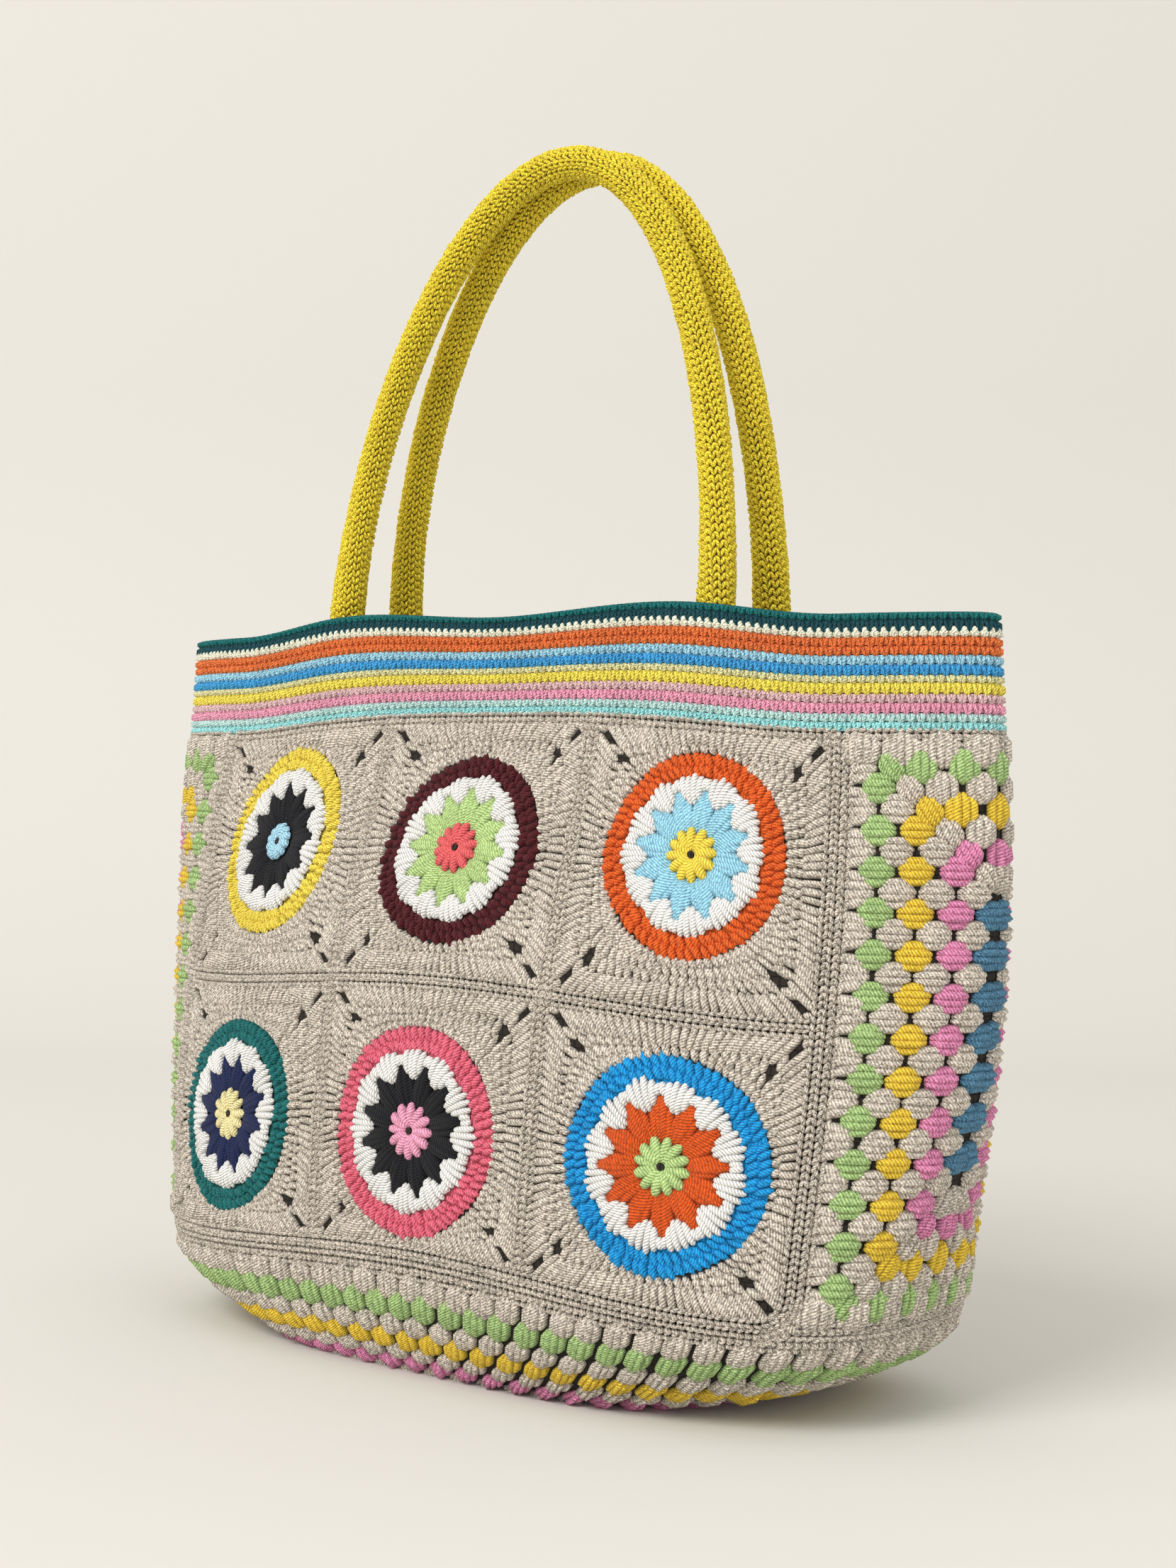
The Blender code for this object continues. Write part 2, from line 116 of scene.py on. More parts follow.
def surface(arcs, level):
    """Points of the bag: level 0 is the bottom seam, 1 the rim, -1 the foot, -2 the centre."""
    x, y = around_oval(*section_at(max(level, 0.0)), arcs)
    to_front = np.abs(np.mod(arcs + 0.25 * GIRTH, 0.5 * GIRTH) - 0.25 * GIRTH)
    bow = np.sin(0.5 * math.pi * np.clip(2 * to_front / FRONT_WIDTH, 0, 1)) ** 2
    sag = MID_LIFT - (MID_LIFT + CORNER_SAG) * bow
    drawn = max((level - WAVE_START) / (1 - WAVE_START), 0.0) ** 2
    height = SEAM_HEIGHT + level * (RIM - SEAM_HEIGHT) + sag + drawn * rim_wave(to_front)
    if level < 0:
        foot_x, foot_y = around_oval(*FOOT, arcs)
        turn = 0.5 * math.pi * min(-level, 1.0)
        height = (SEAM_HEIGHT + sag) * (1 - math.sin(turn))
        inward = max(math.cos(turn), 0.0) ** (1 + WRAP_FLATNESS * bow ** 3)
        x = foot_x + (x - foot_x) * inward
        y = foot_y + (y - foot_y) * inward
        if level < -1:
            x = foot_x * (2 + level)
            y = foot_y * (2 + level)
    return np.stack([x, y, height], axis=-1)


def unit(rows):
    """Vectors brought to a length of one."""
    return rows / np.maximum(np.linalg.norm(rows, axis=-1, keepdims=True), 1e-9)


class Sheet:
    """Lookup of points and normals of a stretch of the bag over (distance around, coordinate)."""

    def __init__(self, coords, levels):
        self.arcs = np.linspace(0, GIRTH, ARC_STEPS + 1)
        self.coords = np.asarray(coords)
        self.grid = np.array([surface(self.arcs, level) for level in levels])
        along = np.roll(self.grid[:, :-1], -1, 1) - np.roll(self.grid[:, :-1], 1, 1)
        along = np.concatenate([along, along[:, :1]], 1)
        up = np.gradient(self.grid, self.coords, axis=0)
        normal = np.cross(along, up)
        flat = np.linalg.norm(normal, axis=-1, keepdims=True)
        self.normal = np.where(flat > 1e-12, normal / np.maximum(flat, 1e-12), (0, 0, -1.0))

    def __call__(self, u, v, w):
        col = np.mod(u, GIRTH) / GIRTH * ARC_STEPS
        left = np.clip(np.floor(col).astype(int), 0, ARC_STEPS - 1)
        fx = (col - left)[..., None]
        low = np.clip(np.searchsorted(self.coords, v) - 1, 0, len(self.coords) - 2)
        fy = ((v - self.coords[low]) / (self.coords[low + 1] - self.coords[low]))[..., None]
        out = []
        for grid in (self.grid, self.normal):
            out.append((grid[low, left] * (1 - fx) + grid[low, left + 1] * fx) * (1 - fy)
                       + (grid[low + 1, left] * (1 - fx) + grid[low + 1, left + 1] * fx) * fy)
        return out[0] + unit(out[1]) * w[..., None]


def wall_sheet():
    """Walls of the bag over (distance around, length up the panel from the bottom seam)."""
    coords = np.linspace(LOWEST_WALL, TOP, WALL_ROWS)
    scale = ROW_RISE / SQUARE / (RIM - SEAM_HEIGHT)
    levels = [c * scale if c >= 0 else -math.asin(-c / SEAM_HEIGHT) / (0.5 * math.pi)
              for c in coords]
    return Sheet(coords, levels)


def bottom_sheet():
    """Underside of the bag over (distance around, minus the length down from the seam)."""
    arcs = np.linspace(0, GIRTH, BOTTOM_ARCS)
    rings = np.array([surface(arcs, level) for level in BOTTOM_LEVELS])
    steps = np.linalg.norm(np.diff(rings, axis=0), axis=-1).mean(1)
    coords = np.concatenate([[0], np.cumsum(steps)])
    return Sheet(coords - coords[-1], BOTTOM_LEVELS)


WALL_SHEET = wall_sheet()
BOTTOM_SHEET = bottom_sheet()

# Yarns: linear colour, strength of the heather speckle
YARNS = {
    "greige": (0.577, 0.514, 0.44, 0.65),
    "teal_dark": (0.008, 0.07, 0.09, 0.35),
    "teal_edge": (0.006, 0.16, 0.16, 0.35),
    "cream": (0.85, 0.836, 0.67, 0.25),
    "orange": (0.8, 0.187, 0.049, 0.40),
    "light_blue": (0.36, 0.66, 0.821, 0.40),
    "blue": (0.06, 0.363, 0.713, 0.40),
    "pale_yellow": (0.76, 0.726, 0.389, 0.35),
    "yellow": (0.92, 0.748, 0.108, 0.30),
    "pale_pink": (0.74, 0.506, 0.518, 0.35),
    "pink": (0.86, 0.363, 0.497, 0.35),
    "pale_aqua": (0.52, 0.748, 0.713, 0.35),
    "aqua": (0.34, 0.726, 0.734, 0.35),
    "mustard": (0.965, 0.715, 0.045, 0.40),
    "white": (0.791, 0.783, 0.757, 0.14),
    "ring_yellow": (0.817, 0.636, 0.077, 0.22),
    "maroon": (0.073, 0.005, 0.009, 0.35),
    "ring_orange": (0.705, 0.107, 0.014, 0.35),
    "ring_teal": (0.005, 0.138, 0.138, 0.35),
    "ring_coral": (0.757, 0.138, 0.206, 0.32),
    "ring_sky": (0.01, 0.301, 0.688, 0.35),
    "black": (0.006, 0.006, 0.009, 0.20),
    "navy": (0.006, 0.014, 0.07, 0.30),
    "light_green": (0.42, 0.58, 0.225, 0.35),
    "petal_blue": (0.292, 0.585, 0.74, 0.32),
    "rust": (0.602, 0.082, 0.009, 0.35),
    "centre_blue": (0.361, 0.619, 0.774, 0.30),
    "centre_coral": (0.731, 0.112, 0.12, 0.30),
    "centre_yellow": (0.817, 0.619, 0.069, 0.25),
    "centre_pale": (0.8, 0.705, 0.361, 0.25),
    "centre_pink": (0.774, 0.327, 0.473, 0.30),
    "puff_green": (0.35, 0.5, 0.2, 0.45),
    "puff_yellow": (0.744, 0.515, 0.047, 0.35),
    "puff_pink": (0.672, 0.234, 0.406, 0.45),
    "puff_blue": (0.076, 0.203, 0.32, 0.50),
}
# Near-black painted shade, seen between the stitches, between the motifs' rings and petals and in
# their hearts
GAP_SHADE_COLOUR = (0.022, 0.016, 0.011)
# The reverse of the crochet, darker than the greige yarn: painted shade inside the bag
SHADED_REVERSE_COLOUR = (0.20, 0.165, 0.125)
# Dark painted shade in the handles' cores, seen between their knitted stitches
CORE_SHADE_COLOUR = (0.11, 0.08, 0.014)

# Twist of the yarn in radians: per millimetre along it, and over its whole width
PLY_TURNS = 2.1
PLY_LEAN = 7.5
# Noise value, and the change of colour there for full heather
SPECK_STOPS = ((0.36, -0.85), (0.5, 0.0), (0.64, 0.70))
BRIGHTEST = 0.97
# Least factor, and what is added where the value is one: painted shade at a strand's sides and
# between its plies, and random tone in patches
EDGE_SHADE = (0.50, 0.62)
PLY_SHADE = (0.68, 0.46)
PATCH_TONE = (0.86, 0.28)
PLY_RELIEF = 0.8
SPECK_RELIEF = 0.6
YARN_RELIEF = 0.8 * MM
REVERSE_RELIEF = 1.2 * MM
CORE_RELIEF = 0.8 * MM


def new_material(name, roughness):
    material = bpy.data.materials.new(name)
    material.use_nodes = True
    nodes, links = material.node_tree.nodes, material.node_tree.links
    shader = nodes["Principled BSDF"]
    shader.inputs["Roughness"].default_value = roughness
    return material, nodes, links, shader


def set_inputs(node, values):
    for socket, value in values.items():
        node.inputs[socket].default_value = value
    return node


def yarn_map(nodes):
    """Lengths along and across the strands."""
    uv = nodes.new("ShaderNodeUVMap")
    uv.uv_map = "Yarn"
    return uv.outputs[0]


def add_bump(nodes, links, shader, height, strength, distance):
    values = {"Strength": strength, "Distance": distance}
    bump = set_inputs(nodes.new("ShaderNodeBump"), values)
    links.new(height, bump.inputs["Height"])
    links.new(bump.outputs["Normal"], shader.inputs["Normal"])
    return bump


def yarn_material(name, colour, heather):
    """Twisted cotton: plies across the strand, heather specks, painted shade at the sides and between
    the plies, soft sheen.
    """
    material, nodes, links, shader = new_material("yarn_" + name, 0.85)
    set_inputs(shader, {"Sheen Weight": 0.06, "Sheen Roughness": 0.5, "Specular IOR Level": 0.25})
    split = nodes.new("ShaderNodeSeparateXYZ")
    links.new(yarn_map(nodes), split.inputs[0])
    place = nodes.new("ShaderNodeTexCoord")

    def math_node(kind, first, second=None):
        node = nodes.new("ShaderNodeMath")
        node.operation = kind
        for socket, value in zip(node.inputs, (first, second)):
            if isinstance(value, (int, float)):
                socket.default_value = value
            elif value is not None:
                links.new(value, socket)
        return node.outputs[0]

    def times(first, second):
        return math_node("MULTIPLY", first, second)

    def graded(least_and_gain, value):
        return math_node("ADD", least_and_gain[0], times(value, least_and_gain[1]))

    def noise(values):
        node = set_inputs(nodes.new("ShaderNodeTexNoise"), values)
        links.new(place.outputs["Object"], node.inputs["Vector"])
        return node.outputs["Fac"]

    across = split.outputs[1]
    twist = math_node("ADD", times(split.outputs[0], PLY_TURNS), times(across, PLY_LEAN))
    ply = math_node("ABSOLUTE", math_node("SINE", twist))
    side = times(times(across, math_node("SUBTRACT", 1.0, across)), 4.0)
    specks = noise({"Scale": 820, "Detail": 2, "Roughness": 0.7})
    patches = noise({"Scale": 45, "Detail": 2})
    ramp = nodes.new("ShaderNodeValToRGB")
    links.new(specks, ramp.inputs["Fac"])
    elements = ramp.color_ramp.elements
    elements[0].position = SPECK_STOPS[0][0]
    elements[1].position = SPECK_STOPS[2][0]
    elements.new(SPECK_STOPS[1][0])
    for element, (_, change) in zip(elements, SPECK_STOPS):
        factor = 1 + change * heather
        element.color = tuple(min(channel * factor, BRIGHTEST) for channel in colour) + (1.0,)
    # painted shade at the sides of the strand and between its plies, times tone in patches
    shade = times(graded(EDGE_SHADE, side), graded(PLY_SHADE, ply))
    shade = times(shade, graded(PATCH_TONE, patches))
    tint = nodes.new("ShaderNodeMix")
    tint.data_type = "RGBA"
    tint.blend_type = "MULTIPLY"
    tint.inputs["Factor"].default_value = 1.0
    grey = nodes.new("ShaderNodeCombineColor")
    for socket in grey.inputs:
        links.new(shade, socket)
    links.new(ramp.outputs["Color"], tint.inputs["A"])
    links.new(grey.outputs[0], tint.inputs["B"])
    links.new(tint.outputs["Result"], shader.inputs["Base Color"])
    relief = math_node("ADD", times(ply, PLY_RELIEF), times(specks, SPECK_RELIEF))
    add_bump(nodes, links, shader, relief, 0.8, YARN_RELIEF)
    return material


def lining_material(name, colour, depth):
    """The reverse of the crochet: rows of small bumps with painted shade in the grooves between them,
    seen inside and between the stitches.
    """
    material, nodes, links, shader = new_material(name, 0.95)

    def shaded(factor):
        return (*[channel * factor for channel in colour], 1)

    cells = set_inputs(nodes.new("ShaderNodeTexBrick"), {
        "Scale": 1.0, "Brick Width": 3.6, "Row Height": 4.0, "Mortar Size": 0.55,
        "Mortar Smooth": 1.0, "Color1": shaded(1), "Color2": shaded(0.82),
        # the grooves: painted shade
        "Mortar": shaded(0.30)})
    links.new(yarn_map(nodes), cells.inputs["Vector"])
    links.new(cells.outputs["Color"], shader.inputs["Base Color"])
    add_bump(nodes, links, shader, cells.outputs["Fac"], 0.9, depth).invert = True
    return material


def plain_material(name, colour, roughness):
    material, _, _, shader = new_material(name, roughness)
    shader.inputs["Base Color"].default_value = (*colour, 1)
    return material


MATERIALS = {name: yarn_material(name, colour, heather)
             for name, (*colour, heather) in YARNS.items()}
# near-black painted shade between the stitches
MATERIALS["gap_shade"] = lining_material("painted_shade_between_stitches", GAP_SHADE_COLOUR, CORE_RELIEF)
# the reverse of the crochet, darkened as painted shade inside the bag
MATERIALS["reverse"] = lining_material("crochet_reverse_painted_shade", SHADED_REVERSE_COLOUR, REVERSE_RELIEF)
# dark painted shade in the handles' cores
MATERIALS["mustard_core"] = lining_material("mustard_core", CORE_SHADE_COLOUR, CORE_RELIEF)

# Outline of one strand: share of its length, of its width and of its height
SHAPES = {
    "post": ((0.0, 0.14, 0.5, 0.86, 1.0), (0.45, 0.92, 1.0, 0.92, 0.45), (0.0, 0.85, 1.0, 0.85, 0.0)),
    "dash": ((0.0, 0.3, 0.7, 1.0), (0.35, 1.0, 1.0, 0.35), (0.0, 1.0, 1.0, 0.0)),
    "petal": ((0.0, 0.15, 0.4, 0.7, 0.9, 1.0), (0.30, 0.62, 0.95, 1.0, 0.55, 0.12),
              (0.0, 0.7, 1.0, 1.0, 0.6, 0.0)),
    "puff": ((0.0, 0.07, 0.28, 0.72, 0.93, 1.0), (0.30, 0.70, 1.0, 1.0, 0.70, 0.30),
             (0.0, 0.55, 1.0, 1.0, 0.55, 0.0)),
}
WIDTH_WOBBLE = 0.6
BOW_WOBBLE = 0.35
YARN_START = 3


class Cloth:
    """Collects strands and patches in panel coordinates and makes one mesh of them."""

    def __init__(self, name, sheet, slot):
        self.name, self.sheet, self.slot = name, sheet, slot
        self.points, self.faces, self.yarn_uv, self.bake_uv = [], [], [], []
        self.material_index, self.materials, self.count = [], [], 0

    def _material(self, yarn):
        if yarn not in self.materials:
            self.materials.append(yarn)
        return self.materials.index(yarn)

    def _add(self, u, v, w, faces, yarn_uv, yarn):
        points = self.sheet(u, v, w).reshape(-1, 3)
        self.points.append(points)
        self.faces.append(faces + self.count)
        self.yarn_uv.append(yarn_uv.reshape(-1, 2))
        self.bake_uv.append(np.stack([u, v], -1).reshape(-1, 2))
        self.material_index.append(np.full(len(faces), self._material(yarn)))
        self.count += len(points)

    def strands(self, start, end, width, height, yarn, lift=0.0, bow=0.0, shape="post",
                sides=4, jitter=0.10):
        """Strands from start to end, arrays of (u, v); width and height in metres."""
        start, end = np.atleast_2d(start).astype(float), np.atleast_2d(end).astype(float)
        count = len(start)
        share, wide, tall = (np.array(row) for row in SHAPES[shape])
        wobble = RNG.normal(0, jitter, (count, 4))
        step = end - start
        length = np.linalg.norm(step, axis=1, keepdims=True)
        way = step / np.maximum(length, 1e-9)
        perp = np.stack([-way[:, 1], way[:, 0]], 1)
        width = np.broadcast_to(width, (count,)) * (1 + wobble[:, 0] * WIDTH_WOBBLE)
        height = np.broadcast_to(height, (count,)) * (1 + wobble[:, 1])
        bow = np.broadcast_to(bow, (count,)) + wobble[:, 2] * width * BOW_WOBBLE
        lift = np.broadcast_to(lift, (count,))
        theta = np.linspace(0, math.pi, sides)
        middle = (start[:, None] + step[:, None] * share[None, :, None]
                  + perp[:, None] * (bow[:, None] * 4 * share * (1 - share))[..., None])
        half = 0.5 * width[:, None] * wide
        across = np.cos(theta)
        spot = middle[:, :, None] + perp[:, None, None] * (half[..., None] * across)[..., None]
        w = (lift[:, None, None] + (height[:, None] * tall)[..., None] * np.sin(theta)
             ) + np.zeros((count, len(share), sides))
        rings = len(share)
        base = np.arange(count)[:, None, None] * rings * sides
        i = np.arange(rings - 1)[None, :, None]
        j = np.arange(sides - 1)[None, None, :]
        corner = base + i * sides + j
        faces = np.stack([corner, corner + 1, corner + sides + 1, corner + sides], -1)
        faces = faces.reshape(-1, 4)
        yarn_uv = np.empty((count, rings, sides, 2))
        start_phase = RNG.random((count, 1)) * YARN_START
        yarn_uv[..., 0] = (start_phase + length / MM * share[None])[..., None]
        yarn_uv[..., 1] = (1 - np.arange(sides) / (sides - 1))
        self._add(spot[..., 0], spot[..., 1], w, faces, yarn_uv, yarn)

    def patch(self, rows_u, rows_v, w, yarn):
        """Grid of cloth through arrays of rows of (u, v)."""
        rows_u, rows_v = np.asarray(rows_u, float), np.asarray(rows_v, float)
        rows, cols = rows_u.shape
        i, j = np.meshgrid(np.arange(rows - 1), np.arange(cols - 1), indexing="ij")
        corner = (i * cols + j).reshape(-1)
        faces = np.stack([corner, corner + 1, corner + cols + 1, corner + cols], -1)
        yarn_uv = np.stack([rows_u / MM, np.full_like(rows_u, 0.5)], -1)
        self._add(rows_u, rows_v, np.zeros_like(rows_u) + w, faces, yarn_uv, yarn)

    def build(self):
        """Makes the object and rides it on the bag."""
        points = np.concatenate(self.points)
        faces = np.concatenate(self.faces).astype(np.int32)
        mesh = mesh_from(self.name, points, faces)
        mesh.polygons.foreach_set("material_index",
                                  np.concatenate(self.material_index).astype(np.int32))
        corners = faces.reshape(-1)
        set_uv(mesh, "Yarn", np.concatenate(self.yarn_uv)[corners])
        bake = np.concatenate(self.bake_uv)
        low, high = bake.min(0), bake.max(0)
        set_uv(mesh, "OFBake", ((bake - low) / (high - low))[corners])
        for yarn in self.materials:
            mesh.materials.append(MATERIALS[yarn])
        mesh.shade_smooth()
        item = add_object(self.name, mesh)
        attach(item, "root")
        print(self.name, len(faces) * 2, "triangles")
        return item


def mesh_from(name, points, faces):
    mesh = bpy.data.meshes.new(name)
    mesh.vertices.add(len(points))
    mesh.vertices.foreach_set("co", points.astype(np.float32).reshape(-1))
    mesh.loops.add(faces.size)
    mesh.loops.foreach_set("vertex_index", faces.reshape(-1))
    mesh.polygons.add(len(faces))
    starts = np.arange(0, faces.size, faces.shape[1], dtype=np.int32)
    mesh.polygons.foreach_set("loop_start", starts)
    mesh.update(calc_edges=True)
    return mesh


def add_object(name, data):
    item = bpy.data.objects.new(name, data)
    bpy.context.scene.collection.objects.link(item)
    return item


def set_uv(mesh, name, values):
    layer = mesh.uv_layers.new(name=name)
    layer.data.foreach_set("uv", values.astype(np.float32).reshape(-1))


def run_along(points):
    """Distance of each point from the first, along the line."""
    return np.concatenate([[0], np.cumsum(np.linalg.norm(np.diff(points, axis=0), axis=1))])


def points_at(distance, run, points):
    """Points at distances along a line of points."""
    return np.stack([np.interp(distance, run, column) for column in points.T], 1)


# Two strands of a chain stitch: overlap along the chain, root and tip across it, and width
CHAIN_OVERLAP = 0.62
CHAIN_ROOT = 0.08
CHAIN_TIP = 0.5
CHAIN_STRAND = 0.52


def braid(cloth, path, chain):
    """Grey chain of V stitches along a path of (u, v) points."""
    pitch, width, height, lift = np.array(chain) * MM
    path = np.asarray(path, float)
    run = run_along(path)
    count = max(int(run[-1] / pitch), 1)
    at = (np.arange(count) + 0.5) * run[-1] / count
    nearby = 0.1 * MM

    def place(distance):
        return points_at(np.clip(distance, 0, run[-1]), run, path)

    def spot(distance, side):
        distance = np.clip(distance, 0, run[-1])
        ahead = unit(place(distance + nearby) - place(distance - nearby))
        return place(distance) + side * np.stack([-ahead[:, 1], ahead[:, 0]], 1)

    step = run[-1] / count
    for side in (-1, 1):
        cloth.strands(spot(at - CHAIN_OVERLAP * step, side * width * CHAIN_ROOT),
                      spot(at + CHAIN_OVERLAP * step, side * width * CHAIN_TIP),
                      width * CHAIN_STRAND, height, "greige", lift=lift, shape="dash")


def rounded_square(half, radius, count, centre):
    """Points evenly along a rounded square, from the middle of its right side."""
    sides = []
    for quarter in range(4):
        corner = np.array([(half - radius) * (1 if quarter in (0, 3) else -1),
                           (half - radius) * (1 if quarter in (0, 1) else -1)])
        angle = np.linspace(0, math.pi / 2, 12) + quarter * math.pi / 2
        sides.append(corner + radius * np.stack([np.cos(angle), np.sin(angle)], 1))
    outline = np.concatenate([[[half, 0]]] + sides + [[[half, 0]]])
    run = run_along(outline)
    at = (np.arange(count) + 0.5) / count * run[-1]
    return points_at(at, run, outline) + centre


# Round motif of each square: yarns from the ring inwards, shift from the middle of the square
# and half sizes as shares of SQUARE, tooth of the ring's edge and reach of the heart
MOTIFS = {
    (1, 0): (("ring_yellow", "white", "black", "centre_blue"),
             (-0.011, 0.044), (0.345, 0.372), 0.012, 0.20),
    (1, 1): (("maroon", "white", "light_green", "centre_coral"),
             (-0.008, -0.014), (0.372, 0.355), 0.045, 0.27),
    (1, 2): (("ring_orange", "white", "petal_blue", "centre_yellow"),
             (-0.008, 0.048), (0.354, 0.360), 0.012, 0.27),
    (0, 0): (("ring_teal", "white", "navy", "centre_pale"),
             (-0.034, -0.032), (0.366, 0.380), 0.012, 0.27),
    (0, 1): (("ring_coral", "white", "black", "centre_pink"),
             (-0.028, -0.050), (0.380, 0.392), 0.012, 0.27),
    (0, 2): (("ring_sky", "white", "rust", "light_green"),
             (0.022, -0.007), (0.380, 0.380), 0.012, 0.27),
}
PETALS = 12
RING_POSTS = 70
RING_INNER = 0.735
RING_WAVE = 0.016
RING_LEAN = 0.02
MOTIF_UNEVENNESS = 0.012

# Cloth under the strands and in the heart: its edges as shares of the motif, lift in mm; the gap and
# the heart's hole are near-black painted shade
RING_BACK = (0.70, 0.97, -0.6)
GAP_BACK = (0.50, 0.68, -0.4)
PETAL_BACK = (0.15, 0.56, -0.1)
HEART_HOLE = (0.005, 0.035, 2.6)

# Strands of a white scallop: turn from its middle, where they end and how high they stand.
# They start on a curve from SCALLOP_START in the middle, SCALLOP_CURVE further out at SCALLOP_SPAN
SCALLOP_TURNS = np.array([-0.230, -0.14, -0.047, 0.047, 0.14, 0.230])
SCALLOP_ENDS = np.array([0.735, 0.765, 0.785, 0.785, 0.765, 0.735])
SCALLOP_HEIGHTS = np.array([2.8, 3.1, 3.2, 3.2, 3.1, 2.8]) * MM
SCALLOP_START = 0.475
SCALLOP_CURVE = 0.125
SCALLOP_SPAN = 0.215
SCALLOP_NARROW = 0.90
SCALLOP_WIDEN = 1.06
SCALLOP_STRAND = 3.9 * MM
SCALLOP_LIFT = 0.8 * MM

# Strands of a petal: turns of their roots and tips, reach, width, height and sideways bow
PETAL_ROOT = 0.20
PETAL_TURNS = np.array([-0.20, -0.07, 0.07, 0.20])
PETAL_TIPS = np.array([-0.115, -0.02, 0.02, 0.115])
PETAL_ENDS = np.array([0.56, 0.660, 0.660, 0.56])
PETAL_WIDTHS = np.array([4.6, 5.0, 5.0, 4.6]) * MM
PETAL_HEIGHTS = np.array([2.2, 2.8, 2.8, 2.2]) * MM
PETAL_BOWS = np.array([0.8, 0.5, -0.5, -0.8]) * -MM
END_SPREAD = 0.008

# Grey rounds of a square
SURROUND_LIFT = -0.9 * MM
INNER_HALF = 0.402 * SQUARE
INNER_RADIUS = 14 * MM
INNER_POSTS = 84
OUTER_HALF = 0.478 * SQUARE
OUTER_RADIUS = 4 * MM
OUTER_POSTS = 116
UNDER_RING = 0.972
NEAREST_ROUND = 1.055
ROUND_OVERLAP = 0.03
LONG_POST = 7 * MM
INNER_SLIT = 2.0 * MM
OUTER_SLIT = 1.9 * MM


def oval(centre, half, share, angle):
    """Points at a share of an oval's size, in directions of angle."""
    return np.stack([centre[0] + half[0] * share * np.cos(angle),
                     centre[1] + half[1] * share * np.sin(angle)], -1)


# A crochet post is a stack of slanted turns of yarn: their overlap, lean and width
TURN_OVERLAP = 0.16
TURN_LEAN = 0.32
TURN_WIDTH = 0.86


def posts(cloth, inner, outer, turns, width, height, yarn, lift):
    """Crochet posts from inner to outer points."""
    step = outer - inner
    slant = unit(np.stack([-step[:, 1], step[:, 0]], 1)) * width * TURN_LEAN
    for k in range(turns):
        low = inner + step * max((k - TURN_OVERLAP) / turns, 0)
        high = inner + step * min((k + 1 + TURN_OVERLAP) / turns, 1)
        cloth.strands(low - slant, high + slant, width * TURN_WIDTH, height, yarn, lift=lift,
                      shape="dash", jitter=0.14)


def motif(cloth, centre, half, yarns, tooth, heart, seed):
    """Round motif: ring, twelve white scallops, twelve petals and a heart."""
    ring, scallop, petal, middle = yarns
    local = np.random.default_rng(seed)
    phase = local.random() * 0.5
    petal_turn = 2 * math.pi / PETALS

    def spots(share, angle):
        wobble = (1 + MOTIF_UNEVENNESS * np.sin(3 * angle + seed)
                  + MOTIF_UNEVENNESS * np.sin(5 * angle + 2 * seed))
        return oval(centre, half, share * wobble, np.asarray(angle, float))

    def round_patch(edges, yarn):
        low, high, lift = edges
        full = np.linspace(0, 2 * math.pi, 4 * PETALS + 1)
        rows = np.stack([spots(low, full), spots(high, full)])
        cloth.patch(rows[..., 0], rows[..., 1], lift * MM, yarn)

    round_patch(RING_BACK, ring)
    # near-black painted shade between the ring and the petals
    round_patch(GAP_BACK, "gap_shade")
    round_patch(PETAL_BACK, petal)
    order = np.arange(RING_POSTS)
    angle = phase + (order + local.normal(0, 0.10, RING_POSTS)) * 2 * math.pi / RING_POSTS
    outer = 1.0 + tooth * (order % 2 - 0.5) + local.normal(0, END_SPREAD, RING_POSTS)
    inner = RING_INNER + RING_WAVE * np.cos(PETALS * (angle - phase))
    inner += local.normal(0, 1.5 * END_SPREAD, RING_POSTS)
    posts(cloth, spots(inner, angle), spots(outer, angle + RING_LEAN), 2, 4.5 * MM, 2.5 * MM,
          ring, -0.5 * MM)
    starts = SCALLOP_START + SCALLOP_CURVE * (SCALLOP_TURNS / SCALLOP_SPAN) ** 2
    for k in range(PETALS):
        base = phase + (k + 0.5) * petal_turn
        ends = SCALLOP_ENDS + local.normal(0, END_SPREAD, len(SCALLOP_ENDS))
        cloth.strands(spots(starts, base + SCALLOP_TURNS * SCALLOP_NARROW),
                      spots(ends, base + SCALLOP_TURNS * SCALLOP_WIDEN), SCALLOP_STRAND,
                      SCALLOP_HEIGHTS, scallop, lift=SCALLOP_LIFT, shape="puff", sides=5)
    for k in range(PETALS):
        base = phase + k * petal_turn
        ends = PETAL_ENDS + local.normal(0, END_SPREAD, len(PETAL_ENDS))
        cloth.strands(spots(PETAL_ROOT, base + PETAL_TURNS), spots(ends, base + PETAL_TIPS),
                      PETAL_WIDTHS, PETAL_HEIGHTS, petal, bow=PETAL_BOWS, shape="petal", sides=5)
    angle = phase + (np.arange(PETALS) + 0.5) * petal_turn
    cloth.strands(spots(0.03, angle), spots(heart, angle), 5.2 * MM, 2.4 * MM, middle,
                  lift=1.3 * MM, shape="puff", sides=5)
    # near-black painted shade over the middle of the heart
    round_patch(HEART_HOLE, "gap_shade")


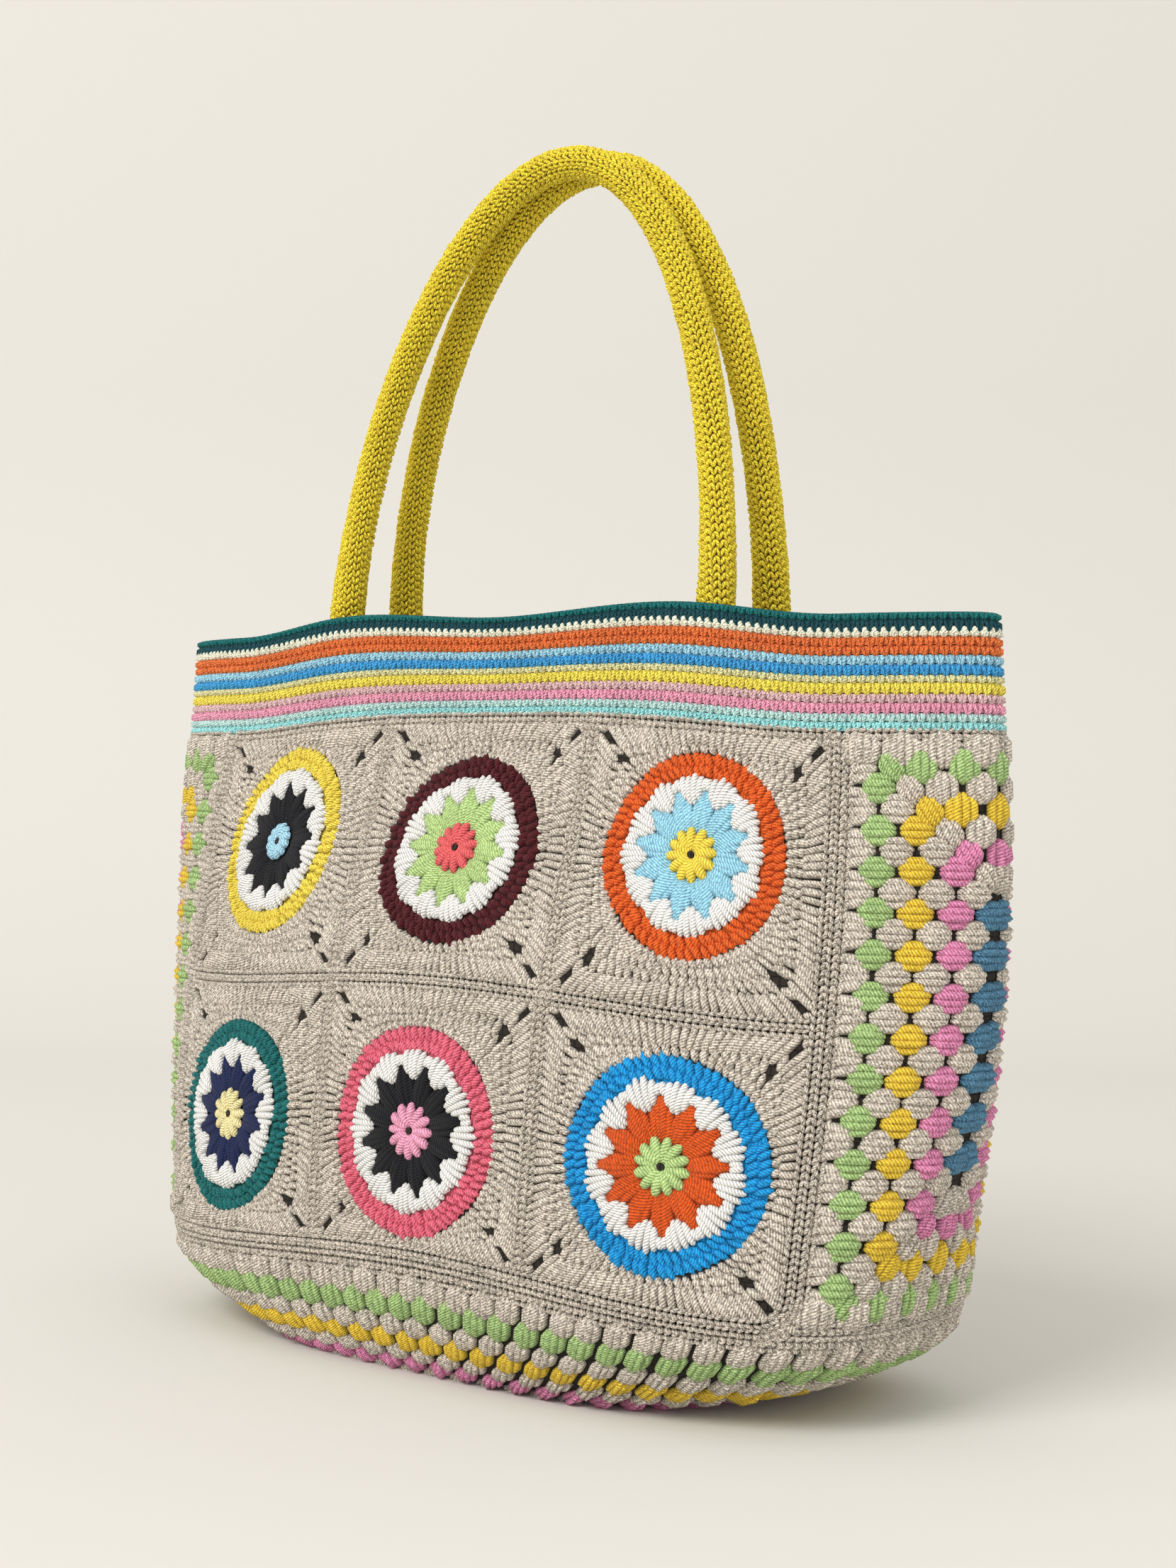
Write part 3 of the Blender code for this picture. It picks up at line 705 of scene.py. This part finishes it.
def surround(cloth, middle, centre, half, seed):
    """Grey rounds that turn the motif into a square, with two slits towards each corner."""

    def seen_from_motif(outline):
        away = outline - centre
        angle = np.arctan2(away[:, 1] / half[1], away[:, 0] / half[0])
        share = np.hypot(away[:, 0] / half[0], away[:, 1] / half[1])
        return angle, np.maximum(share, NEAREST_ROUND)

    def at_corner(outline, within):
        away = np.abs(outline - middle)
        return np.abs(away[:, 0] - away[:, 1]) < within

    def grey_posts(inner, outer, turns, width, height=2.4 * MM):
        posts(cloth, inner, outer, turns, width, height, "greige", SURROUND_LIFT)

    outline = rounded_square(INNER_HALF, INNER_RADIUS, INNER_POSTS, middle)
    angle, share = seen_from_motif(outline)
    start = oval(centre, half, UNDER_RING, angle)
    end = oval(centre, half, share, angle)
    slit = at_corner(outline, INNER_SLIT)
    long_post = (np.linalg.norm(end - start, axis=1) > LONG_POST) & ~slit
    short = ~long_post & ~slit
    grey_posts(start[short], end[short], 1, 4.7 * MM)
    grey_posts(start[long_post], end[long_post], 3, 4.7 * MM, 2.5 * MM)
    reach = np.random.default_rng(seed).uniform(0.64, 0.80, (int(slit.sum()), 1))
    grey_posts(start[slit], start[slit] + (end[slit] - start[slit]) * reach, 2, 4.3 * MM)

    outer = rounded_square(OUTER_HALF, OUTER_RADIUS, OUTER_POSTS, middle)
    angle, share = seen_from_motif(rounded_square(INNER_HALF, INNER_RADIUS, OUTER_POSTS, middle))
    inner = oval(centre, half, share - ROUND_OVERLAP, angle)
    slit = at_corner(outer, OUTER_SLIT)
    cloth.strands(inner[~slit], outer[~slit], 4.0 * MM, 2.8 * MM, "greige", lift=SURROUND_LIFT,
                  sides=5, jitter=0.12)
    step = outer[slit] - inner[slit]
    grey_posts(inner[slit], inner[slit] + step * 0.42, 1, 4.4 * MM)
    grey_posts(inner[slit] + step * 0.76, outer[slit], 1, 4.4 * MM)


# Chains along the seams, in millimetres: pitch, width, height and lift
SEAM_CHAIN = (3.5, 4.2, 2.2, -0.2)
RIDGE_CHAIN = (3.4, 4.4, 2.6, 0.1)
TOP_CHAIN = (3.6, 4.3, 2.3, -0.7)
GUSSET_CHAIN = (3.6, 4.2, 2.6, -0.6)
BOTTOM_CHAIN = (3.6, 4.3, 2.4, -0.6)
SEAM_OFFSETS = (-2.1 * MM, 2.1 * MM)
RIDGE_INSETS = (2.2 * MM, -2.2 * MM)
RIDGE_RADIUS = 13 * MM
SEAM_END = 4 * MM


def seam_chains(name, centre_arc):
    """Chains between the squares, the double ridge round them and the fans at its corners."""
    seams = Cloth(name, WALL_SHEET, "greige_cotton")
    edge = 0.5 * FRONT_WIDTH
    for column in (-0.5, 0.5):
        for offset in SEAM_OFFSETS:
            arc = centre_arc + column * SQUARE + offset
            braid(seams, [(arc, SEAM_END), (arc, PANEL_HEIGHT)], SEAM_CHAIN)
    for offset in SEAM_OFFSETS:
        v = SQUARE + offset
        braid(seams, [(centre_arc - edge + SEAM_END, v), (centre_arc + edge - SEAM_END, v)],
              SEAM_CHAIN)
    for inset in RIDGE_INSETS:
        half = edge - inset
        turns = np.linspace(0, math.pi / 2, 9)
        corner = np.stack([1 - np.sin(turns), np.cos(turns) - 1], 1) * (inset - RIDGE_RADIUS)
        right = np.concatenate([corner + (half, inset), [(half, PANEL_HEIGHT)]])
        path = np.concatenate([right[::-1] * (-1, 1), right])
        braid(seams, path + (centre_arc, 0), RIDGE_CHAIN)
    for side in (-1, 1):
        turn = np.array([centre_arc + side * (edge - RIDGE_RADIUS), RIDGE_RADIUS])
        for angle in np.radians(np.linspace(-84, -6, 8)):
            ray = np.array([side * math.cos(angle), math.sin(angle)])
            seams.strands([turn + ray * RIDGE_RADIUS], [turn + ray * 22.5 * MM], 4.4 * MM,
                          2.4 * MM, "greige", lift=-0.9 * MM, sides=5)
    for offset in (0.6 * MM, 4.0 * MM):
        v = PANEL_HEIGHT - offset
        braid(seams, [(centre_arc - edge, v), (centre_arc + edge, v)], TOP_CHAIN)
    return seams


def panel(side, centre_arc):
    """Front or back: six squares with their motifs, and the chains that join them."""
    squares = Cloth(side + "_squares_crochet", WALL_SHEET, "greige_cotton")
    motifs = Cloth(side + "_motifs_crochet", WALL_SHEET, "sky_cotton")
    for (row, column), (yarns, shift, half, tooth, heart) in MOTIFS.items():
        middle = np.array([centre_arc + (column - 1) * SQUARE, (row + 0.5) * SQUARE])
        centre = middle + np.array(shift) * SQUARE
        half = np.array(half) * SQUARE
        seed = row * 3 + column
        motif(motifs, centre, half, yarns, tooth, heart, seed)
        surround(squares, middle, centre, half, seed)
    seams = seam_chains(side + "_seam_chains", centre_arc)
    for cloth in (squares, motifs, seams):
        cloth.build()


# A puff's loops: shortening and spread of their ends, sideways bow, width and height
PUFF_ROUNDING = 0.95
PUFF_PINCH = 0.60
PUFF_BOW = 0.48
PUFF_STRAND = 1.42
PUFF_HEIGHT = 4.7 * MM
PUFF_FALL = 13.0 * MM
PUFF_SCATTER = 0.35 * MM


def puff(cloth, spot, way, long_way, tall, yarn, strands=4, lift=-0.7 * MM, stretch=1.0):
    """Cluster of loops lying along way, pinched at both ends; stretch widens it around the bag."""
    way = np.asarray(way, float)
    perp = np.array([-way[1], way[0]])
    spot = np.asarray(spot, float) + RNG.normal(0, PUFF_SCATTER, 2)
    scale = np.array([stretch, 1.0])
    share = (np.arange(strands) + 0.5) / strands - 0.5
    reach = 0.5 * long_way * (1 - PUFF_ROUNDING * share ** 2 + RNG.normal(0, 0.03, strands))
    ends = perp * (share * tall)[:, None] * PUFF_PINCH
    start = spot + scale * (ends - way * reach[:, None])
    end = spot + scale * (ends + way * reach[:, None])
    cloth.strands(start, end, tall / strands * PUFF_STRAND * stretch ** 0.5,
                  PUFF_HEIGHT - PUFF_FALL * share ** 2, yarn, lift=lift,
                  bow=share * tall * PUFF_BOW, shape="puff", sides=5, jitter=0.09)


# Rounds of puffs in a gusset, all in millimetres from its middle: half width, yarn,
# height of the top row, depth of the bottom row, and whether its rows stand half a pitch off
GUSSET_ROUNDS = (
    (55.6, "puff_green", 117.0, 122.0, False),
    (47.0, "greige", 107.5, 113.5, True),
    (38.5, "puff_yellow", 98.0, 105.0, False),
    (30.0, "greige", 88.5, 96.5, True),
    (21.5, "puff_pink", 79.0, 88.0, False),
    (13.0, "greige", 69.5, 79.0, True),
    (4.6, "puff_blue", 61.0, 70.0, False),
)
PITCH = 18.4 * MM
GUSSET_SHIFT = -2.2 * MM
COLUMN_SHIFT = GUSSET_SHIFT - 1 * MM
COLUMN_END = 8.2
COLUMN_PUFF = (16.0 * MM, 12.6 * MM)
ROW_PITCH = 17 * MM
ROW_INSET = 19 * MM
ROW_PUFF = (16.0 * MM, 13.4 * MM)
CORNER_PUFF = (14.5 * MM, 10.5 * MM)
CORNER_TURN = 1.05
CORNER_INSET = np.array([5.5, 0.5]) * MM
NARROWEST_ROWS = 10

# Border of a gusset: fans beside the green puffs, puffs above and below, and chains
BORDER_OUT = 70.0 * MM
BORDER_IN = 56.5 * MM
BORDER_FAN = (-0.375, -0.125, 0.125, 0.375)
BORDER_NARROW = 0.66
BORDER_CHAIN = 69.2 * MM
END_PUFF = (17.0 * MM, 17.5 * MM)
END_PITCH = 18.3 * MM
END_HEIGHT = 124.5 * MM
CHAIN_HALF = 72 * MM
CHAIN_HEIGHTS = (-2.4 * MM, 1.2 * MM, PANEL_HEIGHT - 4.0 * MM, PANEL_HEIGHT - 0.6 * MM)


def gusset_round(cloth, centre_arc, half_mm, yarn, top_mm, low_mm, between):
    """One oblong round of puffs: two columns, and rows with corners where it is wide enough."""
    half = half_mm * MM

    def lay(u, v, way, size):
        puff(cloth, (centre_arc + u, 0.5 * PANEL_HEIGHT + v), way, *size, yarn)

    for side in (-1, 1):
        for k in range(-8, 9):
            v = (k + (0.5 if between else 0.0)) * PITCH + COLUMN_SHIFT
            if -(low_mm - COLUMN_END) * MM <= v <= (top_mm - COLUMN_END) * MM:
                lay(side * half, v, (side, 0), COLUMN_PUFF)
    if half_mm < NARROWEST_ROWS:
        return
    reach = half - ROW_INSET
    count = max(int(2 * reach / ROW_PITCH + 1.5), 1)
    for end, high in ((-1, low_mm * MM), (1, top_mm * MM)):
        for k in range(count):
            u = (2 * k / (count - 1) - 1) * reach if count > 1 else 0.0
            lay(u, end * high, (0, end), ROW_PUFF)
        for side in (-1, 1):
            way = (side * math.cos(CORNER_TURN), end * math.sin(CORNER_TURN))
            u, v = (side, end) * (np.array([half, high]) - CORNER_INSET)
            lay(u, v, way, CORNER_PUFF)


def gusset(name, centre_arc):
    """Granny rectangle between front and back, with its border."""
    cloth = Cloth(name, WALL_SHEET, "greige_cotton")
    middle = 0.5 * PANEL_HEIGHT
    for values in GUSSET_ROUNDS:
        gusset_round(cloth, centre_arc, *values)
    for side in (-1, 1):
        for k in range(-8, 8):
            v = (k + 0.5) * PITCH + GUSSET_SHIFT
            if abs(v) > middle - 4 * MM:
                continue
            for share in BORDER_FAN:
                start = (centre_arc + side * BORDER_OUT, middle + v + share * PITCH)
                end = (centre_arc + side * BORDER_IN, middle + v + share * BORDER_NARROW * PITCH)
                cloth.strands([start], [end], 5.3 * MM, 2.9 * MM, "greige", lift=-0.9 * MM,
                              sides=5)
        arc = centre_arc + side * BORDER_CHAIN
        braid(cloth, [(arc, 2 * MM), (arc, PANEL_HEIGHT)], GUSSET_CHAIN)
    for v in CHAIN_HEIGHTS:
        braid(cloth, [(centre_arc - CHAIN_HALF, v), (centre_arc + CHAIN_HALF, v)], TOP_CHAIN)
    for end in (-1, 1):
        for k in range(8):
            puff(cloth, (centre_arc + (k - 3.5) * END_PITCH, middle + end * END_HEIGHT),
                 (0, end), *END_PUFF, "greige", strands=5, lift=-1.0 * MM)
    cloth.build()


# Rounds of the underside: depth from the seam in millimetres, yarn, and a shift of half a puff
BOTTOM_ROUNDS = (
    (15.0, "greige", 0.0), (25.5, "puff_green", 0.5), (38.5, "greige", 0.0),
    (50.0, "puff_yellow", 0.5), (62.5, "greige", 0.0), (75.0, "puff_pink", 0.5),
    (87.5, "greige", 0.0), (100.0, "puff_blue", 0.5), (112.5, "greige", 0.0),
    (125.0, "puff_green", 0.5), (137.5, "greige", 0.0), (150.0, "puff_yellow", 0.5),
    (162.5, "greige", 0.0),
)
BOTTOM_PITCH = 14.8 * MM
BOTTOM_PUFF = 12.8 * MM
GREY_LENGTH = 15.5 * MM
COLOURED_LENGTH = 17.5 * MM
CENTRE_GAP = 8 * MM
BOTTOM_CHAIN_DEPTHS = (5.0 * MM, 8.6 * MM)


def bottom():
    """Rounds of puffs from the bottom seam to the middle of the underside."""
    cloth = Cloth("bottom_crochet", BOTTOM_SHEET, "greige_cotton")
    ring_arcs = np.linspace(0, GIRTH, OVAL_STEPS)
    lengths = BOTTOM_SHEET.coords
    for depth_mm, yarn, shift in BOTTOM_ROUNDS:
        v = -depth_mm * MM
        if v < lengths[0] + CENTRE_GAP:
            continue
        ring = surface(ring_arcs, float(np.interp(v, lengths, BOTTOM_LEVELS)))
        around = np.linalg.norm(np.diff(ring, axis=0), axis=1).sum()
        count = max(int(around / BOTTOM_PITCH / 2) * 2, 6)
        long_way = GREY_LENGTH if yarn == "greige" else COLOURED_LENGTH
        for k in range(count):
            puff(cloth, ((k + shift) * GIRTH / count, v), (0, -1), long_way, BOTTOM_PUFF, yarn,
                 lift=-0.9 * MM, stretch=GIRTH / around)
    for depth in BOTTOM_CHAIN_DEPTHS:
        braid(cloth, [(0, -depth), (GIRTH, -depth)], BOTTOM_CHAIN)
    cloth.build()


# Rows of the band from the rim down: yarn and share of the band's height
BAND_ROWS = (
    ("teal_edge", 0.054), ("teal_dark", 0.092), ("cream", 0.050), ("orange", 0.074),
    ("orange", 0.074), ("light_blue", 0.078), ("blue", 0.088), ("pale_yellow", 0.060),
    ("yellow", 0.092), ("pale_pink", 0.074), ("pink", 0.088), ("pale_aqua", 0.070),
    ("aqua", 0.086),
)
BAND_STITCHES = 240
STITCH_FOOT = 0.03
STITCH_HEAD = 0.43
STITCH_OVERLAP = 0.30
LAST_OVERLAP = 0.05
STITCH_STRAND = (1.9 * MM, 2.4 * MM)
BAND_BACK = 0.06
PICOT_START = 0.1
PICOT_LENGTH = 4.0 * MM
PICOT = (3.4 * MM, 2.1 * MM)


def band():
    """Striped band of single crochet, with the cream row's points over the teal."""
    cloth = Cloth("band_crochet", WALL_SHEET, "striped_cotton")
    total = sum(share for _, share in BAND_ROWS)
    count = BAND_STITCHES
    unit = GIRTH / count
    arcs = (np.arange(count) + 0.5) * unit
    around = np.linspace(0, GIRTH, count + 1)
    top = TOP
    for index, (yarn, share) in enumerate(BAND_ROWS):
        tall = (TOP - PANEL_HEIGHT) * share / total
        low = top - tall
        shift = 0.5 * unit * (index % 2)
        overlap = STITCH_OVERLAP if index < len(BAND_ROWS) - 1 else LAST_OVERLAP
        for side in (-1, 1):
            start = np.stack([arcs + shift + side * STITCH_FOOT * unit,
                              np.full(count, low - overlap * tall)], 1)
            end = np.stack([arcs + shift + side * STITCH_HEAD * unit, np.full(count, top)], 1)
            cloth.strands(start, end, *STITCH_STRAND, yarn, lift=-0.9 * MM, shape="dash",
                          sides=5)
        rows = (low + BAND_BACK * tall, top - BAND_BACK * tall)
        cloth.patch(*np.meshgrid(around, rows), -0.55 * MM, yarn)
        if yarn == "cream":
            start = np.stack([arcs + shift, np.full(count, low + PICOT_START * tall)], 1)
            cloth.strands(start, start + (0, PICOT_LENGTH), *PICOT, yarn, lift=-0.2 * MM,
                          shape="petal", sides=4)
        top = low
    cloth.build()


# Closed cloth under the stitches
SHELL_COLUMNS = 168
SHELL_LIFT = -1.0 * MM
REVERSE_ROWS = 320
# REVERSE_SHADE: painted shade on the reverse of the band's rows inside the bag
REVERSE_SHADE = 0.75


def base_shell():
    """Closed shell under the stitches, with its reverse seen inside the bag, darkened there as
    painted shade.
    """
    columns = SHELL_COLUMNS
    levels = list(np.linspace(-1.9, -1.0, 4)) + list(np.linspace(-0.9, 0, 9))
    levels += list(np.linspace(0.04, PANEL_HEIGHT / TOP, 21))
    stripes = np.cumsum([share for _, share in BAND_ROWS[::-1]])
    levels += list((PANEL_HEIGHT + (TOP - PANEL_HEIGHT) * stripes / stripes[-1]) / TOP)
    arcs = np.linspace(0, GIRTH, columns + 1)[:-1]
    outer, inner, uv = [], [], []
    for level in levels:
        sheet = WALL_SHEET
        coord = level * TOP
        if level <= 0:
            sheet = BOTTOM_SHEET
            coord = float(np.interp(level, BOTTOM_LEVELS, BOTTOM_SHEET.coords))
        for store, depth in ((outer, SHELL_LIFT), (inner, -WALL)):
            store.append(sheet(arcs, np.full(columns, coord), np.full(columns, depth)))
        uv.append(np.stack([arcs / MM, np.full(columns, level * REVERSE_ROWS)], 1))
    rows = len(levels)
    points = np.concatenate([np.concatenate(outer), np.concatenate(inner)])
    count = rows * columns
    here = np.arange(columns)
    following = (here + 1) % columns
    row = np.arange(rows - 1)[:, None] * columns
    wall = np.stack([row + here, row + following, row + columns + following,
                     row + columns + here], -1).reshape(-1, 4)
    rim = np.stack([here, following, following + count, here + count], 1)
    centre = np.stack([following, here, here + count, following + count], 1)
    faces = [wall, wall[:, ::-1] + count, rim + (rows - 1) * columns, centre]
    faces = np.concatenate(faces).astype(np.int32)
    mesh = mesh_from("bag_cloth", points, faces)
    flat = np.concatenate(uv + uv)
    corners = flat[faces.reshape(-1)].reshape(-1, 4, 2)
    wrap = corners[..., 0].max(1, keepdims=True) - corners[..., 0] > 0.5 * GIRTH / MM
    corners[..., 0] += wrap * GIRTH / MM
    set_uv(mesh, "Yarn", corners.reshape(-1, 2))
    # outside of the shell: near-black painted shade seen between the stitches
    mesh.materials.append(MATERIALS["gap_shade"])
    # inside of the shell: the reverse, darkened as painted shade
    mesh.materials.append(MATERIALS["reverse"])
    per_row = np.zeros(rows - 1, int) + 1
    for index, (yarn, _) in enumerate(BAND_ROWS[::-1]):
        # reverse of each band row, darkened as painted shade
        colour = [channel * REVERSE_SHADE for channel in YARNS[yarn][:3]]
        mesh.materials.append(lining_material(f"reverse_{index}_{yarn}", colour, REVERSE_RELIEF))
        per_row[rows - 1 - len(BAND_ROWS) + index] = index + 2
    top_index = len(BAND_ROWS) + 1
    kinds = np.concatenate([np.zeros((rows - 1) * columns, int), np.repeat(per_row, columns),
                            np.full(columns, top_index), np.zeros(columns, int)])
    mesh.polygons.foreach_set("material_index", kinds.astype(np.int32))
    mesh.shade_smooth()
    item = add_object("bag_cloth", mesh)
    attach(item, "root")
    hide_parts(*[name for name in NODE_NAMES if not name.endswith("_handle")])


# Handles
COLLAR = 1.12
HANDLE_STEPS = 96
HANDLE_ARCH = 1.8
HANDLE_GAP = 0.3 * MM
TUBE_STEPS = 400
KNIT_COLUMNS = 13
KNIT_PITCH = 3.8 * MM
KNIT_STRAND = (1.9 * MM, 1.8 * MM)
KNIT_FOOT = 0.02
KNIT_HEAD = 0.46
KNIT_OVERLAP = 0.15
KNIT_TWIST = 7.0


def foot_point(level):
    """Distance behind the panel and height of a handle's middle inside the band."""
    radius = TUBE_RADIUS * COLLAR
    arcs = np.linspace(0.0, 0.5 * FRONT_WIDTH, 80)
    coord = level * (RIM - SEAM_HEIGHT) * SQUARE / ROW_RISE
    sunk = np.full(80, -(WALL + radius + 2 * HANDLE_GAP))
    middles = WALL_SHEET(arcs, np.full(80, coord), sunk)
    return (float(np.interp(HANDLE_SPREAD, middles[:, 0], -middles[:, 1])),
            float(np.interp(HANDLE_SPREAD, middles[:, 0], middles[:, 2])))


def handle_path(side, lean):
    """Points and relative radius along a handle, from foot to foot."""
    levels = [1 - HANDLE_TUCK / (RIM - SEAM_HEIGHT) * (1 - i / 4) for i in range(4)]
    foot = [(*foot_point(level), COLLAR) for level in levels]
    foot_depth, foot_height = foot_point(1.0)
    rise = RIM + HANDLE_RISE - foot_height
    path = [(-HANDLE_SPREAD, *point) for point in foot]
    for i in range(HANDLE_STEPS + 1):
        turn = math.pi * i / HANDLE_STEPS
        up = abs(math.sin(turn)) ** (2 / HANDLE_ARCH)
        across = -math.copysign(abs(math.cos(turn)), math.cos(turn))
        x = HANDLE_SPREAD * across + lean * SQUARE * up ** 1.5
        depth = foot_depth + (TUBE_RADIUS + HANDLE_GAP - foot_depth) * up
        collar = 1 + (COLLAR - 1) * (1 - min(up * 5, 1))
        path.append((x, depth, foot_height + rise * up, collar))
    path += [(HANDLE_SPREAD, *point) for point in reversed(foot)]
    path = np.array(path)
    path[:, 1] *= side
    return path


class Tube:
    """Maps (angle around, distance along, rise) onto a tube along a path."""

    def __init__(self, path, radius):
        points = path[:, :3]
        run = run_along(points)
        self.length = run[-1]
        self.at = np.linspace(0, run[-1], TUBE_STEPS)
        self.points = points_at(self.at, run, points)
        for _ in range(6):
            self.points[1:-1] = (self.points[:-2] + 2 * self.points[1:-1] + self.points[2:]) / 4
        self.radius = radius * np.interp(self.at, run, path[:, 3])
        way = unit(np.gradient(self.points, axis=0))
        out = np.tile(np.array([0.0, 1.0, 0.0]), (TUBE_STEPS, 1))
        out = unit(out - way * np.sum(out * way, 1, keepdims=True))
        self.way, self.out, self.side = way, out, np.cross(way, out)

    def __call__(self, u, v, w):
        place = np.clip(v / self.length, 0, 1) * (TUBE_STEPS - 1)
        low = np.clip(np.floor(place).astype(int), 0, TUBE_STEPS - 2)
        f = (place - low)[..., None]

        def mix(values):
            return values[low] * (1 - f) + values[low + 1] * f

        radius = mix(self.radius[:, None])[..., 0]
        direction = (mix(self.out) * np.cos(u)[..., None]
                     + mix(self.side) * np.sin(-u)[..., None])
        return mix(self.points) + direction * (radius + w)[..., None]

    def unrolled(self, u, v, w):
        """Takes distances around the tube instead of angles."""
        return self(u / TUBE_RADIUS, v, w)


def handle(name, side, lean):
    """Knitted tube: columns of V stitches round a core."""
    tube = Tube(handle_path(side, lean), TUBE_RADIUS)
    cloth = Cloth(name + "_knit", tube, "mustard_cotton")
    around = np.linspace(0, 2 * math.pi, 17)
    along = np.linspace(0, tube.length, 140)
    # dark core under the stitches: painted shade seen between them
    cloth.patch(*np.meshgrid(around, along), -1.4 * MM, "mustard_core")
    cloth.sheet = tube.unrolled
    rows = int(tube.length / KNIT_PITCH)
    unit = 2 * math.pi / KNIT_COLUMNS
    scale = np.array([TUBE_RADIUS, 1.0])
    for column in range(KNIT_COLUMNS):
        v = (np.arange(rows) + 0.5 * (column % 2)) * KNIT_PITCH + 0.5 * MM
        angle = (column + 0.5) * unit + KNIT_TWIST * v
        for hand in (-1, 1):
            start = np.stack([angle + hand * KNIT_FOOT * unit, v - KNIT_OVERLAP * KNIT_PITCH], 1)
            end = np.stack([angle + hand * KNIT_HEAD * unit, v + KNIT_PITCH], 1)
            cloth.strands(start * scale, end * scale, *KNIT_STRAND, "mustard", lift=-1.0 * MM,
                          shape="dash")
    item = cloth.build()
    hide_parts(name)


base_shell()
panel("front", 0.0)
panel("back", 0.5 * GIRTH)
gusset("right_gusset_crochet", 0.25 * GIRTH)
gusset("left_gusset_crochet", 0.75 * GIRTH)
bottom()
band()
handle("front_handle", -1, 0.10)
handle("back_handle", 1, 0.14)

# Camera solved from the photograph, in metres, degrees and pixels
CAMERA_PLACE = (0.79106, -0.93191, 0.2813)
CAMERA_TURNS = (39.361, -0.061, 0.806)
FOCAL_PIXELS = 3440.9
PHOTO_HEIGHT = 2212
SENSOR = 36

# Backdrop: reach to each side, and its profile away from the camera
BACKDROP_TURN = math.radians(39.36)
BACKDROP_COLOUR = (0.694, 0.678, 0.637)
BACKDROP_REACH = 3.5
FLOOR_NEAR = -3.0
FLOOR_FAR = 1.2
SWEEP = 0.8
WORLD_COLOUR = (1.0, 0.985, 0.95, 1)
WORLD_STRENGTH = 0.85

# Lights: place, target, size, power and colour
LIGHTS = {
    "key": ((0.0, -4.0, 3.6), (0, 0, 0.2), 2.6, 160, (1.0, 0.985, 0.955)),
    "fill": ((2.4, -0.6, 1.2), (0, 0, 0.25), 2.0, 7, (0.97, 0.98, 1.0)),
}


def backdrop():
    """Plain pale floor that curves up far behind the bag."""
    away = Vector((-math.sin(BACKDROP_TURN), math.cos(BACKDROP_TURN), 0))
    side = Vector((math.cos(BACKDROP_TURN), math.sin(BACKDROP_TURN), 0))
    profile = [(FLOOR_NEAR, 0.0), (FLOOR_FAR, 0.0)]
    profile += [(FLOOR_FAR + SWEEP * math.sin(t), SWEEP - SWEEP * math.cos(t))
                for t in np.linspace(0.1, math.pi / 2, 14)]
    profile += [(FLOOR_FAR + SWEEP, BACKDROP_REACH)]
    points, faces = [], []
    for run, rise in profile:
        for reach in (-BACKDROP_REACH, BACKDROP_REACH):
            points.append(away * run + side * reach + Vector((0, 0, rise)))
    for i in range(len(profile) - 1):
        faces.append((2 * i, 2 * i + 1, 2 * i + 3, 2 * i + 2))
    mesh = bpy.data.meshes.new("backdrop")
    mesh.from_pydata(points, [], faces)
    mesh.materials.append(plain_material("backdrop", BACKDROP_COLOUR, 0.95))
    mesh.shade_smooth()
    item = add_object("backdrop", mesh)


def area_light(name, location, target, size, power, colour):
    light = bpy.data.lights.new(name, "AREA")
    light.shape = "SQUARE"
    light.size = size
    light.energy = power
    light.color = colour
    item = add_object(name, light)
    item.location = location
    item.rotation_euler = (Vector(target) - Vector(location)).to_track_quat("-Z", "Y").to_euler()


def camera():
    yaw, pitch, roll = (math.radians(turn) for turn in CAMERA_TURNS)
    back = Vector((math.sin(yaw) * math.cos(pitch), -math.cos(yaw) * math.cos(pitch),
                   math.sin(pitch)))
    right = Vector((math.cos(yaw), math.sin(yaw), 0))
    up = back.cross(right)
    turned_right = right * math.cos(roll) + up * math.sin(roll)
    turned_up = -right * math.sin(roll) + up * math.cos(roll)
    data = bpy.data.cameras.new("camera")
    data.sensor_width = SENSOR
    data.lens = FOCAL_PIXELS / PHOTO_HEIGHT * SENSOR
    item = add_object("camera", data)
    rotation = Matrix((turned_right, turned_up, back)).transposed()
    item.matrix_world = Matrix.Translation(CAMERA_PLACE) @ rotation.to_4x4()
    bpy.context.scene.camera = item


backdrop()
camera()
for light_name, values in LIGHTS.items():
    area_light(light_name, *values)
world = bpy.data.worlds.new("studio")
world.use_nodes = True
set_inputs(world.node_tree.nodes["Background"],
           {"Color": WORLD_COLOUR, "Strength": WORLD_STRENGTH})
bpy.context.scene.world = world
bpy.context.scene.view_settings.view_transform = "Standard"
